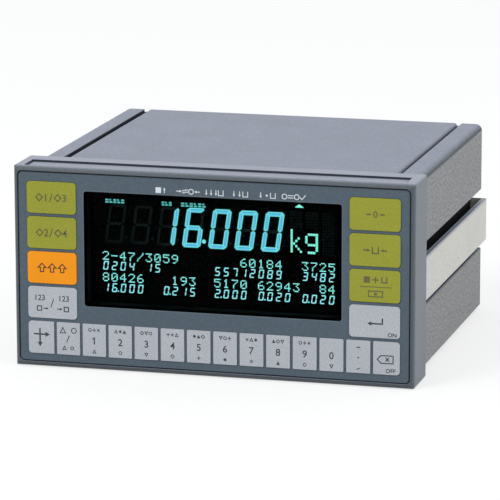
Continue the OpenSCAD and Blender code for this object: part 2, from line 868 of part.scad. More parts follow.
module rear_panel() {
    notch_u = runner_u + runner_head_t + notch_clear;
    color(paint) home() along_y(body_rear_y, rear_face_y) difference() {
        translate([0, mid_z]) round_rect(body_w - 2 * rear_inset, body_h - 2 * rear_inset,
            rear_corner_r);
        for (s = [-1, 1]) {
            translate([s * body_w / 2, mid_z + (channel_h / 2 - channel_low) / 2])
                square([2 * notch_u, channel_low + channel_h / 2], center = true);
            translate([s * (body_w / 2 - clamp_u), mid_z + rail_v])
                circle(clamp_screw_r + clamp_hole_gap);
        }
        for (p = port_places()) translate(p) circle(screw_hole_r);
        for (p = cover_screw_places()) translate(p) circle(port_bore_r);
        for (x = cover_places()) translate([x, cover_z])
            square([cover_w - 2 * opening_edge, cover_h - 2 * opening_end], center = true);
        for (i = [0 : vent_count - 1])
            translate([vent_x + (i - (vent_count - 1) / 2) * vent_pitch, vent_z])
                round_rect(vent_w, vent_h, vent_w / 2 - cutout_clear / 2);
        translate([inlet_x, inlet_z]) inlet_outline(inlet_wall + cutout_clear);
        translate([fuse_x, fuse_z]) circle(fuse_body_r + cutout_clear);
        translate([connector_x, connector_z]) circle(shell_r + cutout_clear);
        translate([earth_x, earth_z]) circle(earth_r + cutout_clear / 2);
    }
}

module rear_screws() {
    color(bright) home() {
        for (p = port_places())
            screw_y(p[0], p[1], rear_face_y, 1, rear_t + rear_screw_grip, screw_r, head_r, head_h);
        for (p = cover_screw_places())
            screw_y(p[0], p[1], rear_face_y + cover_plate_t, 1, cover_plate_t + rear_t + head_h,
                screw_r, head_r, head_h);
        screw_y(earth_x, earth_z, rear_face_y, 1, rear_t + rear_screw_grip, earth_r, earth_head_r,
            clamp_head_h);
    }
}

module slot_covers() {
    color(bright) home() for (x = cover_places())
        along_y(rear_face_y, rear_face_y + cover_plate_t) difference() {
            translate([x, cover_z]) round_rect(cover_w, cover_h, cover_plate_t);
            for (s = [-1, 1]) translate([x, cover_z + s * (cover_h / 2 - cover_screw_inset)])
                circle(port_bore_r);
        }
}

module power_inlet() {
    flange_h = inlet_h + 2 * (inlet_wall + inlet_flange_edge);
    mouth_y = rear_face_y + inlet_flange_t;
    color(dark) home() difference() {
        union() {
            along_y(rear_face_y, mouth_y) translate([inlet_x, inlet_z])
                round_rect(inlet_flange_w, flange_h, inlet_corner_r);
            along_y(mouth_y - inlet_d - inlet_floor, mouth_y) translate([inlet_x, inlet_z])
                inlet_outline(inlet_wall);
        }
        along_y(mouth_y - inlet_d, mouth_y + cut) translate([inlet_x, inlet_z]) inlet_outline();
    }
}

module inlet_blades() {
    floor_y = rear_face_y + inlet_flange_t - inlet_d;
    low_z = inlet_z - blade_offset / 2;
    color([0.80, 0.65, 0.35]) home()
        for (p = [[-blade_pitch / 2, low_z], [blade_pitch / 2, low_z], [0, low_z + blade_offset]])
            box(inlet_x + p[0] - blade_w / 2, inlet_x + p[0] + blade_w / 2, floor_y,
                floor_y + blade_len, p[1] - blade_h / 2, p[1] + blade_h / 2);
}

module fuse_holder() {
    mouth_y = rear_face_y + fuse_collar_t;
    inner_y = rear_face_y - fuse_body_d;
    color(dark) home() difference() {
        union() {
            pin_y(fuse_x, fuse_z, rear_face_y, mouth_y, fuse_collar_r);
            pin_y(fuse_x, fuse_z, inner_y, mouth_y, fuse_body_r);
        }
        pin_y(fuse_x, fuse_z, inner_y + fuse_end_t, mouth_y + cut, fuse_bore_r);
    }
}

module fuse_cap() {
    seat_y = rear_face_y + fuse_collar_t + cap_gap;
    stem_y = seat_y - cap_gap - cap_stem_d;
    color(dark) home() difference() {
        union() {
            pin_y(fuse_x, fuse_z, seat_y, seat_y + cap_h, cap_r);
            pin_y(fuse_x, fuse_z, stem_y, seat_y + cap_h / 2, fuse_bore_r - cap_fit);
        }
        box(fuse_x - cap_r, fuse_x + cap_r, seat_y + cap_h - cap_slot_d, seat_y + cap_h + cut,
            fuse_z - cap_slot_w / 2, fuse_z + cap_slot_w / 2);
    }
}

module fuse() {
    stem_y = rear_face_y + fuse_collar_t - cap_stem_d;
    color([0.85, 0.87, 0.88]) home() pin_y(fuse_x, fuse_z, stem_y - fuse_len, stem_y, fuse_r);
}

module load_cell_connector() {
    mouth_y = rear_face_y + connector_d;
    color(bright) home() difference() {
        union() {
            along_y(rear_face_y, rear_face_y + connector_flange_t)
                translate([connector_x, connector_z])
                    round_rect(connector_flange, connector_flange, connector_flange_t);
            pin_y(connector_x, connector_z, rear_face_y - connector_in, mouth_y, shell_r);
        }
        pin_y(connector_x, connector_z, mouth_y - connector_depth, mouth_y + cut, socket_r);
    }
}

module terminal_block() {
    back_y = rear_face_y + terminal_d;
    color([0.16, 0.36, 0.24]) home() difference() {
        along_y(rear_face_y, back_y) translate([terminal_x, terminal_z])
            round_rect(terminal_w, terminal_h, inner_corner_r);
        for (x = terminal_places()) {
            pin_y(x, terminal_z - wire_drop, back_y - wire_d, back_y + cut, wire_r);
            pin_y(x, terminal_z + terminal_screw_rise, back_y - terminal_screw_d
                - terminal_screw_sink, back_y + cut, terminal_screw_r);
        }
    }
}

module terminal_screws() {
    top_y = rear_face_y + terminal_d - terminal_screw_sink;
    z = terminal_z + terminal_screw_rise;
    r = terminal_screw_r - cap_fit;
    color(bright) home() for (x = terminal_places()) difference() {
        pin_y(x, z, top_y - terminal_screw_d, top_y, r);
        box(x - r, x + r, top_y - recess_w, top_y + cut, z - recess_w / 4, z + recess_w / 4);
    }
}

// Inside

main_top_z = panel_lip_z + cover_t + standoff_h + board_t;
main_y1 = body_rear_y - main_rear_gap;
function main_corners() = [for (x = [main_x0 + main_inset, main_x1 - main_inset],
    y = [main_y0 + main_inset, main_y1 - main_inset]) [x, y]];

module main_board() {
    color(laminate) home() difference() {
        box(main_x0, main_x1, main_y0, main_y1, main_top_z - board_t, main_top_z);
        for (p = main_corners()) translate([p[0], p[1], main_top_z - board_t - cut])
            cylinder(h = board_t + 2 * cut, r = board_hole_r);
    }
}

module board_standoffs() {
    color(bright) home() for (p = main_corners()) difference() {
        translate([p[0], p[1], panel_lip_z + cover_t]) cylinder(h = standoff_h, r = standoff_r);
        translate([p[0], p[1], main_top_z - board_t - standoff_h / 2])
            cylinder(h = standoff_h, r = board_hole_r);
    }
}

// The screws of the main board stand upright, those of the display board lie along y
module board_screws() {
    shank = display_board_y + board_t - pocket_y - plate_floor_t;
    color(bright) home() {
        for (p = main_corners()) {
            translate([p[0], p[1], main_top_z]) cylinder(h = head_h, r = head_r);
            translate([p[0], p[1], main_top_z - board_t - standoff_h / 3])
                cylinder(h = board_t + standoff_h / 3, r = board_screw_r);
        }
        for (p = boss_places())
            screw_y(p[0], p[1], display_board_y + board_t, 1, shank, board_screw_r, head_r, head_h);
    }
}

// Chips on the main board and the two headers of the ribbon cable
module board_parts() {
    board_w = main_x1 - main_x0;
    board_l = main_y1 - main_y0;
    chip = board_w / 5;
    // Places of the chips as shares of the board, each with its width and length shares
    chip_shares = [[0.30, 0.38, 1.2, 1.2], [0.66, 0.42, 1.0, 1.4], [0.20, 0.64, 0.6, 1.0]];
    header_y = display_board_y + board_t;
    color(dark) home() {
        for (c = chip_shares)
            translate([main_x0 + c[0] * board_w, main_y0 + c[1] * board_l, main_top_z + chip_h / 2])
                cube([chip * c[2], chip * c[3], chip_h], center = true);
        box(ribbon_x - header_w / 2, ribbon_x + header_w / 2, ribbon_y - header_t / 2,
            ribbon_y + header_t / 2, main_top_z, main_top_z + header_h);
        box(ribbon_x - header_w / 2, ribbon_x + header_w / 2, header_y, header_y + header_h,
            ribbon_z - header_t / 2, ribbon_z + header_t / 2);
    }
}

// Flat cable from the display board's header, round one bend, down into the main board's
ribbon_y = main_y0 + main_inset + header_t;
module ribbon_cable() {
    start_y = display_board_y + board_t + header_h;
    bend_y = ribbon_y - ribbon_bend_r;
    bend_z = ribbon_z - ribbon_bend_r;
    inner_r = ribbon_bend_r - ribbon_t / 2;
    outer_r = ribbon_bend_r + ribbon_t / 2;
    foot_z = main_top_z + header_h;
    color([0.55, 0.55, 0.58]) home() {
        box(ribbon_x - ribbon_w / 2, ribbon_x + ribbon_w / 2, start_y, bend_y,
            ribbon_z - ribbon_t / 2, ribbon_z + ribbon_t / 2);
        box(ribbon_x - ribbon_w / 2, ribbon_x + ribbon_w / 2, ribbon_y - ribbon_t / 2,
            ribbon_y + ribbon_t / 2, foot_z, bend_z);
        translate([ribbon_x - ribbon_w / 2, bend_y, bend_z]) rotate([90, 0, 90])
            linear_extrude(ribbon_w) intersection() {
                difference() {
                    circle(outer_r);
                    circle(inner_r);
                }
                square(outer_r);
            }
    }
}

module transformer_core() {
    low = panel_lip_z + cover_t;
    color([0.35, 0.35, 0.37]) home() translate([core_x - core_w / 2, core_y, low])
        rotate([90, 0, 90]) linear_extrude(core_w) difference() {
            translate([-core_len / 2, 0]) square([core_len, core_h]);
            for (s = [-1, 1]) translate([s * core_len / 4, core_h / 2])
                square([core_len / 2 - 1.5 * core_leg, core_h - 2 * core_leg], center = true);
        }
}

// Coil round the core's middle leg, inside both of its windows
module transformer_winding() {
    low = panel_lip_z + cover_t;
    outer_len = core_len - 1.5 * core_leg - 2 * winding_gap;
    inner_len = 1.5 * core_leg + 2 * winding_gap;
    color([0.72, 0.42, 0.20]) home()
        translate([core_x, core_y, low + core_leg + winding_gap])
            linear_extrude(core_h - 2 * core_leg - 2 * winding_gap) difference() {
                round_rect(core_w + 2 * winding_overhang, outer_len, winding_overhang / 2);
                square([core_w + 2 * winding_gap, inner_len], center = true);
            }
}

module capacitors() {
    y = main_y1 - main_inset - capacitor_r;
    color([0.10, 0.12, 0.25]) home() for (i = [0 : 1])
        translate([main_x1 - 4 * main_inset - capacitor_r - i * capacitor_pitch, y, main_top_z])
            cylinder(h = capacitor_h, r = capacitor_r);
}

front_bezel();
key_sheet();
display_window();
display_shroud();
display_tube();
key_board();
key_switches();
display_board();
display_spacers();
bezel_screws();
left_side_wall();
right_side_wall();
top_cover();
bottom_cover();
rear_panel();
rear_screws();
left_rail();
right_rail();
left_rail_screw();
right_rail_screw();
rubber_feet();
main_board();
board_parts();
capacitors();
board_standoffs();
board_screws();
transformer_core();
transformer_winding();
ribbon_cable();
power_inlet();
inlet_blades();
fuse_holder();
fuse_cap();
fuse();
load_cell_connector();
terminal_block();
terminal_screws();
slot_covers();
key_function_1();
key_function_2();
key_shift();
key_code();
key_zero();
key_tare();
key_net();
key_on();
key_cursor();
key_letters();
key_1();
key_2();
key_3();
key_4();
key_5();
key_6();
key_7();
key_8();
key_9();
key_0();
key_sign();
key_off();
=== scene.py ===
import json
import math

import bmesh
import bpy
from mathutils import Matrix, Vector


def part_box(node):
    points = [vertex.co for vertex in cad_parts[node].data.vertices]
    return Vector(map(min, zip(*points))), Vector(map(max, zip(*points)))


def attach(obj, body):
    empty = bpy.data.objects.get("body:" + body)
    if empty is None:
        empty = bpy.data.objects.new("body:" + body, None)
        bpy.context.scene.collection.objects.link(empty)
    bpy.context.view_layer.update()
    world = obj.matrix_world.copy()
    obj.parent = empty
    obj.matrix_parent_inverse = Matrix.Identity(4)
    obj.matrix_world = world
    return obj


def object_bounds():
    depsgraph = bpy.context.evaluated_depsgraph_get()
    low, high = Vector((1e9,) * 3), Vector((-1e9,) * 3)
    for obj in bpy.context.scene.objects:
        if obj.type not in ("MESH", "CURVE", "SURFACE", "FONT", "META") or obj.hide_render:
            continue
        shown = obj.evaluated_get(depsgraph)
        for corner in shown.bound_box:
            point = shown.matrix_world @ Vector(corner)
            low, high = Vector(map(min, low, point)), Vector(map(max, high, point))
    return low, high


# A weighing indicator: the looks of its CAD solids, its lit display and its legends, then the stage
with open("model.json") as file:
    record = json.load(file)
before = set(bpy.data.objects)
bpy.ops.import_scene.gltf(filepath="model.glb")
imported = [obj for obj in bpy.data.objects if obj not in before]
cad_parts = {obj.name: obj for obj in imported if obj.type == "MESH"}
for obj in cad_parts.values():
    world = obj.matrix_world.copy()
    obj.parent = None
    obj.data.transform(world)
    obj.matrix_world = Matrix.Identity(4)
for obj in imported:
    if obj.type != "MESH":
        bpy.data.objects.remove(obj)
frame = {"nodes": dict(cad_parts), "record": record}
cad_low, cad_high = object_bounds()
nodes = frame["nodes"]

MM = 0.001
# Places on the part are in millimetres, with y counted from the bezel's front to the rear. The floor
# and the lamps are in metres
FRONT_Y = round(cad_low.y / MM, 3)

# Small helpers

# The mitre of a line's corner reaches half the line's width over MITRE_LIMIT at most. An arrow's head
# spreads to each side by HEAD_SPREAD of its length
MITRE_LIMIT = 0.35
HEAD_SPREAD = 0.55


def linear(*rgb):
    """Linear colour from 0 to 255 display values."""
    return tuple(c / 3294.6 if c <= 10.31 else ((c / 255 + 0.055) / 1.055) ** 2.4 for c in rgb)


def point(x, y, z):
    """A place of this file as a vector in metres, in the frame's own axes."""
    return Vector((x * MM, (y + FRONT_Y) * MM, z * MM))


def box_mm(node):
    """A node's low and high corner, each as x, y and z in this file's millimetres."""
    return [(round(c.x / MM, 3), round(c.y / MM - FRONT_Y, 3), round(c.z / MM, 3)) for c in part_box(node)]


def middle(node):
    """The middle of a node's box in x and in z."""
    low, high = box_mm(node)
    return (low[0] + high[0]) / 2, (low[2] + high[2]) / 2


class Piece:
    """Collects flat closed solids that lie in the plane of the front or the rear panel."""

    def __init__(self, facing=1):
        self.facing = facing
        self.verts = []
        self.faces = []

    def _add(self, verts, faces):
        base = len(self.verts)
        self.verts += verts
        self.faces += [[base + i for i in (f if self.facing > 0 else reversed(f))] for f in faces]

    def prism(self, pts, y0, y1):
        area = sum(a[0] * b[1] - b[0] * a[1] for a, b in zip(pts, pts[1:] + pts[:1]))
        if area < 0:
            pts = pts[::-1]
        n = len(pts)
        faces = [list(range(n)), list(range(2 * n - 1, n - 1, -1))]
        faces += [[i, n + i, n + (i + 1) % n, (i + 1) % n] for i in range(n)]
        self._add([(x, y0, z) for x, z in pts] + [(x, y1, z) for x, z in pts], faces)

    def bar(self, x0, z0, x1, z1, y0, y1):
        self.prism([(x0, z0), (x1, z0), (x1, z1), (x0, z1)], y0, y1)

    def disc(self, x, z, r, y0, y1, n=24):
        self.prism([(x + r * math.cos(2 * math.pi * i / n), z + r * math.sin(2 * math.pi * i / n))
                    for i in range(n)], y0, y1)

    def stroke(self, pts, width, y0, y1, closed=False):
        """A line of constant width with mitred corners, as one closed solid."""
        n = len(pts)
        verts = []
        for i in range(n):
            before = pts[i - 1] if closed or i > 0 else None
            after = pts[(i + 1) % n] if closed or i < n - 1 else None
            normals = []
            for a, b in ((before, pts[i]), (pts[i], after)):
                if a is not None and b is not None:
                    length = math.hypot(b[0] - a[0], b[1] - a[1])
                    normals.append(((a[1] - b[1]) / length, (b[0] - a[0]) / length))
            nx = sum(m[0] for m in normals)
            nz = sum(m[1] for m in normals)
            long = math.hypot(nx, nz)
            reach = width / 2 / max(long / len(normals), MITRE_LIMIT)
            dx = nx / long * reach
            dz = nz / long * reach
            x, z = pts[i]
            verts += [(x + dx, y0, z + dz), (x - dx, y0, z - dz), (x + dx, y1, z + dz), (x - dx, y1, z - dz)]
        faces = []
        for i in range(n if closed else n - 1):
            a = 4 * i
            b = 4 * ((i + 1) % n)
            faces += [[a + 1, b + 1, b, a], [a + 2, b + 2, b + 3, a + 3],
                      [a + 1, a + 3, b + 3, b + 1], [b, b + 2, a + 2, a]]
        if not closed:
            e = 4 * (n - 1)
            faces += [[0, 2, 3, 1], [e + 1, e + 3, e + 2, e]]
        self._add(verts, faces)

    def text(self, string, x, z, height, y0, y1, bold=0.012):
        """Digits or words from the built-in typeface, centred on x and z."""
        curve = bpy.data.curves.new("glyphs", "FONT")
        curve.body = string
        curve.size = 1.0
        curve.extrude = 0.5
        curve.offset = bold
        curve.resolution_u = 4
        holder = bpy.data.objects.new("glyphs", curve)
        bpy.context.scene.collection.objects.link(holder)
        bpy.context.view_layer.update()
        mesh = bpy.data.meshes.new_from_object(holder.evaluated_get(bpy.context.evaluated_depsgraph_get()))
        bm = bmesh.new()
        bm.from_mesh(mesh)
        bmesh.ops.remove_doubles(bm, verts=bm.verts, dist=1e-5)
        bmesh.ops.recalc_face_normals(bm, faces=bm.faces)
        xs = [v.co.x for v in bm.verts]
        ys = [v.co.y for v in bm.verts]
        scale = height / (max(ys) - min(ys))
        mid_x = (max(xs) + min(xs)) / 2
        mid_y = (max(ys) + min(ys)) / 2
        bm.verts.index_update()
        verts = [(x + self.facing * (v.co.x - mid_x) * scale, y0 if v.co.z > 0 else y1,
                  z + (v.co.y - mid_y) * scale) for v in bm.verts]
        faces = [[v.index for v in f.verts] for f in bm.faces]
        base = len(self.verts)
        self.verts += verts
        self.faces += [[base + i for i in f] for f in faces]
        bm.free()
        bpy.data.objects.remove(holder)
        bpy.data.curves.remove(curve)
        bpy.data.meshes.remove(mesh)

    def arrow(self, x0, z0, x1, z1, width, head, y0, y1):
        """A shaft of the given width and a pointed head, from the first place to the second."""
        length = math.hypot(x1 - x0, z1 - z0)
        ux = (x1 - x0) / length
        uz = (z1 - z0) / length
        bx = x1 - ux * head
        bz = z1 - uz * head
        w = width / 2
        self.prism([(x0 - uz * w, z0 + ux * w), (x0 + uz * w, z0 - ux * w),
                    (bx + uz * w, bz - ux * w), (bx - uz * w, bz + ux * w)], y0, y1)
        w = head * HEAD_SPREAD
        self.prism([(bx - uz * w, bz + ux * w), (bx + uz * w, bz - ux * w), (x1, z1)], y0, y1)

    def make(self, name, material, body):
        mesh = bpy.data.meshes.new(name)
        mesh.from_pydata([point(*v) for v in self.verts], [], self.faces)
        mesh.validate()
        mesh.materials.append(material)
        obj = bpy.data.objects.new(name, mesh)
        bpy.context.scene.collection.objects.link(obj)
        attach(obj, body)


# Materials

# The colour sockets of a Mix node share their names with other kinds, so they go by number
MIX_FIRST, MIX_SECOND, MIX_RESULT = 6, 7, 2
# The part of a face's normal that points up, or to the rear, where a painted tone of light and shade sets in
# and is full
LOOKS_UP = (0.3, 0.85)
LOOKS_DOWN = (-0.3, -0.9)
LOOKS_FRONT = (-0.2, -0.8)
# The same for the turn of a rounded upper edge, painted as shade, which fades out again before the wall is
# upright
TURN_FROM_TOP = (0.95, 0.4)
TURN_FROM_WALL = (0.04, 0.16)
# The bands of a noise that a surface uses, and how much a bevelled normal strays at an edge, for the painted
# edge highlight
CLOUD_BAND = (0.3, 0.7)
SPECK_BAND = (0.35, 0.65)
SMEAR_BAND = (0.35, 0.7)
EDGE_BAND = (0.75, 1.0)
CLOUD_SCALE = 45.0
SMEAR_SCALE = 60.0
GRAIN_DEPTH = 0.02
# The grid of the display tube, whose wires darken the trough of a wave
MESH_STEP = 1.05
MESH_BAND = (-1.0, -0.4)
PHOSPHOR_BASE = (0.01, 0.02, 0.02, 1)


def new_material(name):
    made = bpy.data.materials.new(name)
    made.use_nodes = True
    tree = made.node_tree
    return made, tree, tree.nodes["Principled BSDF"]


def noise(tree, coord, scale, detail=2.0, rough=0.5):
    node = tree.nodes.new("ShaderNodeTexNoise")
    node.inputs["Scale"].default_value = scale
    node.inputs["Detail"].default_value = detail
    node.inputs["Roughness"].default_value = rough
    tree.links.new(coord, node.inputs["Vector"])
    return node


def remap(tree, value, low, high, a, b):
    node = tree.nodes.new("ShaderNodeMapRange")
    for key, number in (("From Min", low), ("From Max", high), ("To Min", a), ("To Max", b)):
        node.inputs[key].default_value = number
    tree.links.new(value, node.inputs["Value"])
    return node.outputs["Result"]


def mix_colours(tree, factor, first, second):
    """A colour node between two colours, each a socket or a fixed colour."""
    node = tree.nodes.new("ShaderNodeMix")
    node.data_type = "RGBA"
    tree.links.new(factor, node.inputs["Factor"])
    for socket, value in ((node.inputs[MIX_FIRST], first), (node.inputs[MIX_SECOND], second)):
        if isinstance(value, tuple):
            socket.default_value = (*value[:3], 1.0)
        else:
            tree.links.new(value, socket)
    return node.outputs[MIX_RESULT]


def combine(tree, operation, first, second):
    node = tree.nodes.new("ShaderNodeMath")
    node.operation = operation
    for socket, value in ((node.inputs[0], first), (node.inputs[1], second)):
        if isinstance(value, float):
            socket.default_value = value
        else:
            tree.links.new(value, socket)
    return node.outputs[0]


def split_xyz(tree, vector):
    node = tree.nodes.new("ShaderNodeSeparateXYZ")
    tree.links.new(vector, node.inputs[0])
    return node.outputs


def ramp_pair(tree, value, low, high, soft):
    """One inside low to high, none outside, with a soft step at each end."""
    rise = remap(tree, value, low - soft, low + soft, 0.0, 1.0)
    fall = remap(tree, value, high - soft, high + soft, 1.0, 0.0)
    return combine(tree, "MULTIPLY", rise, fall)


def painted_light_and_shade(tree, coord, base, painted_tones_by_facing, places):
    """The base colour with light and shade painted in by the way a face looks, then in a few boxes (in mm).
    """
    _, ny, nz = split_xyz(tree, coord.outputs["Normal"])
    colour = base
    if "top" in painted_tones_by_facing:
        colour = mix_colours(tree, remap(tree, nz, *LOOKS_UP, 0.0, 1.0), colour, painted_tones_by_facing["top"])
    if "low" in painted_tones_by_facing:
        colour = mix_colours(tree, remap(tree, nz, *LOOKS_DOWN, 0.0, 1.0), colour, painted_tones_by_facing["low"])
    if "front" in painted_tones_by_facing:
        colour = mix_colours(tree, remap(tree, ny, *LOOKS_FRONT, 0.0, 1.0), colour, painted_tones_by_facing["front"])
    if "turn" in painted_tones_by_facing:
        fade = combine(tree, "MULTIPLY", remap(tree, nz, *TURN_FROM_TOP, 0.0, 1.0),
                       remap(tree, nz, *TURN_FROM_WALL, 0.0, 1.0))
        colour = mix_colours(tree, fade, colour, painted_tones_by_facing["turn"])
    x, y, z = split_xyz(tree, coord.outputs["Object"])
    out = combine(tree, "ABSOLUTE", x, 0.0)
    for x_range, y_range, z_range, soft, inside in places:
        factor = ramp_pair(tree, out, x_range[0] * MM, x_range[1] * MM, soft * MM)
        factor = combine(tree, "MULTIPLY", factor,
                         ramp_pair(tree, z, z_range[0] * MM, z_range[1] * MM, soft * MM))
        if y_range:
            low, high = ((v + FRONT_Y) * MM for v in y_range)
            factor = combine(tree, "MULTIPLY", factor, ramp_pair(tree, y, low, high, soft * MM))
        colour = mix_colours(tree, factor, colour, inside)
    return colour


def surface(name, colour, rough=0.5, metallic=0.0, specular=0.5, grain=0.0, grain_size=0.3,
            speckle=0.0, speckle_size=0.5, cloud=0.03, edge=0.0, edge_r=0.25, stretch=None,
            rough_spread=0.08, coat=0.0, painted_tones_by_facing=None, places=(), calm_top=None):
    """Moulded, painted or plated surface: colour clouds and speckles, grain as bump, a painted highlight on
    edges, and painted light and shade where given.
    """
    made, tree, shader = new_material(name)
    shader.inputs["Metallic"].default_value = metallic
    shader.inputs["Specular IOR Level"].default_value = specular
    shader.inputs["Coat Weight"].default_value = coat
    coord = tree.nodes.new("ShaderNodeTexCoord")
    source = coord.outputs["Object"]
    if stretch:
        scaled = tree.nodes.new("ShaderNodeMapping")
        scaled.inputs["Scale"].default_value = stretch
        tree.links.new(source, scaled.inputs["Vector"])
        source = scaled.outputs["Vector"]
    clouds = noise(tree, coord.outputs["Object"], CLOUD_SCALE, detail=3.0)
    specks = noise(tree, source, 1 / (speckle_size * MM), rough=0.7)
    grains = noise(tree, source, 1 / (grain_size * MM), rough=0.6)

    value = remap(tree, clouds.outputs["Fac"], *CLOUD_BAND, 1 - cloud, 1 + cloud)
    fleck = remap(tree, specks.outputs["Fac"], *SPECK_BAND, 1 - speckle, 1 + speckle)
    if calm_top is not None:
        up = remap(tree, split_xyz(tree, coord.outputs["Normal"])[2], *LOOKS_UP, 1.0, calm_top)
        swing = combine(tree, "MULTIPLY", combine(tree, "SUBTRACT", fleck, 1.0), up)
        fleck = combine(tree, "ADD", swing, 1.0)
    last = combine(tree, "MULTIPLY", value, fleck)
    bevel = tree.nodes.new("ShaderNodeBevel")
    bevel.samples = 4
    bevel.inputs["Radius"].default_value = edge_r * MM
    # A painted highlight: the colour is lighter where the bevelled normal strays at an edge
    if edge:
        geometry = tree.nodes.new("ShaderNodeNewGeometry")
        dot = tree.nodes.new("ShaderNodeVectorMath")
        dot.operation = "DOT_PRODUCT"
        tree.links.new(bevel.outputs["Normal"], dot.inputs[0])
        tree.links.new(geometry.outputs["Normal"], dot.inputs[1])
        painted_edge_highlight = remap(tree, dot.outputs["Value"], *EDGE_BAND, 1 + edge, 1.0)
        last = combine(tree, "MULTIPLY", last, painted_edge_highlight)
    tint = tree.nodes.new("ShaderNodeVectorMath")
    tint.operation = "SCALE"
    # Painted light and shade, by the way a face looks and in a few boxes
    if painted_tones_by_facing or places:
        tree.links.new(painted_light_and_shade(tree, coord, colour, painted_tones_by_facing or {}, places), tint.inputs[0])
    else:
        tint.inputs[0].default_value = colour[:3]
    tree.links.new(last, tint.inputs["Scale"])
    tree.links.new(tint.outputs["Vector"], shader.inputs["Base Color"])
    uneven = remap(tree, grains.outputs["Fac"], *CLOUD_BAND, rough - rough_spread, rough + rough_spread)
    tree.links.new(uneven, shader.inputs["Roughness"])
    bump = tree.nodes.new("ShaderNodeBump")
    bump.inputs["Strength"].default_value = grain
    bump.inputs["Distance"].default_value = GRAIN_DEPTH * MM
    tree.links.new(grains.outputs["Fac"], bump.inputs["Height"])
    tree.links.new(bevel.outputs["Normal"], bump.inputs["Normal"])
    tree.links.new(bump.outputs["Normal"], shader.inputs["Normal"])
    return made


def glass(name, colour, rough=0.03, specular=0.5, ior=1.45):
    """Clear or tinted glass with faint smears in its polish."""
    made, tree, shader = new_material(name)
    shader.inputs["Transmission Weight"].default_value = 1.0
    shader.inputs["Specular IOR Level"].default_value = specular
    shader.inputs["IOR"].default_value = ior
    shader.inputs["Base Color"].default_value = (*colour, 1.0)
    coord = tree.nodes.new("ShaderNodeTexCoord")
    smears = noise(tree, coord.outputs["Object"], SMEAR_SCALE, detail=3.0)
    uneven = remap(tree, smears.outputs["Fac"], *SMEAR_BAND, rough * 0.5, rough * 1.5)
    tree.links.new(uneven, shader.inputs["Roughness"])
    return made


def lamp_paint(name, colour, strength, mesh_lines=0.2):
    """Lit phosphor: a glow crossed by the fine lines of the tube's grid."""
    made, tree, shader = new_material(name)
    shader.inputs["Base Color"].default_value = PHOSPHOR_BASE
    shader.inputs["Roughness"].default_value = 0.6
    shader.inputs["Emission Strength"].default_value = strength
    coord = tree.nodes.new("ShaderNodeTexCoord")
    x, _, z = split_xyz(tree, coord.outputs["Object"])
    waves = []
    for place in (x, z):
        turns = combine(tree, "MULTIPLY", place, 2 * math.pi / (MESH_STEP * MM))
        wave = combine(tree, "SINE", turns, 0.0)
        waves.append(remap(tree, wave, *MESH_BAND, 1 - mesh_lines, 1.0))
    tint = tree.nodes.new("ShaderNodeVectorMath")
    tint.operation = "SCALE"
    tint.inputs[0].default_value = colour[:3]
    tree.links.new(combine(tree, "MULTIPLY", waves[0], waves[1]), tint.inputs["Scale"])
    tree.links.new(tint.outputs["Vector"], shader.inputs["Emission Color"])
    return made


def ink(name, *rgb, rough=0.55, cloud=0.06, speckle=0.08):
    return surface(name, linear(*rgb), rough, cloud=cloud, speckle=speckle, specular=0.2)


# The body's paint with painted light on top, as it looks on the walls, and with painted shade below, then
# the painted shade inside the rail channels and of the step in the bezel's top
PAINT_WITH_TOP_LIGHT = linear(139, 144, 159)
WALL = linear(144, 145, 147)
UNDERSIDE_SHADE = linear(110, 112, 114)
CHANNEL_SHADE = linear(14, 15, 17)
STEP_SHADE = linear(48, 53, 64)
# What surfaces of one kind share
PAINTED = {"rough": 0.58, "grain": 0.4, "grain_size": 0.45, "specular": 0.25}
PAINTED_WALL = {"edge": 0.06, "edge_r": 0.3, "calm_top": 0.35, **PAINTED}
FILM_FINISH = {"rough": 0.5, "grain": 0.2, "grain_size": 0.2}
FINE_SPECKLE = {"speckle": 0.1, "speckle_size": 0.8}

# Places with painted light and shade: the range of the distance from the middle in x, the range in y
# or None, the range in z, the softness of the edges and the colour. First painted shade at the bezel's step
STEP_X = 91.2
STEP_REAR = 15.8
STEP_Z = (94.6, 97)
BEZEL_STEP_SHADE = (((-1, STEP_X), (STEP_REAR - 0.7, STEP_REAR), STEP_Z, 0.08, STEP_SHADE),
                ((STEP_X - 0.5, STEP_X), (3.2, STEP_REAR), STEP_Z, 0.08, STEP_SHADE))
# The rail's upper outer edge: a pale strip on its face, a painted highlight of a rounded edge, and a darker
# line on its top, painted shade
rail_x, _, rail_z = box_mm("right_rail")[1]
RAIL_EDGE_LIGHT_AND_SHADE = (((rail_x - 0.8, rail_x), None, (rail_z - 1.1, rail_z + 0.7), 0.12, linear(150, 158, 172)),
               ((rail_x - 1.7, rail_x - 0.85), None, (rail_z - 0.7, rail_z + 0.7), 0.12,
                linear(112, 120, 128)))
# Painted shade: the walls' dark rail channel and groove sides, and the dark foot of the covers' folded sides
wall_x, _, wall_z = box_mm("right_side_wall")[1]
WALL_CHANNEL_SHADE = (((60, wall_x - 0.5), None, (31.3, 61.1), 0.3, CHANNEL_SHADE),
               ((80.5, 82.45), None, (-5, wall_z - 0.25), 0.06, linear(30, 36, 46)))
COVER_FOOT_SHADE = (((79.0, 85.0), None, (88, 91.9), 0.12, linear(66, 76, 94)),)

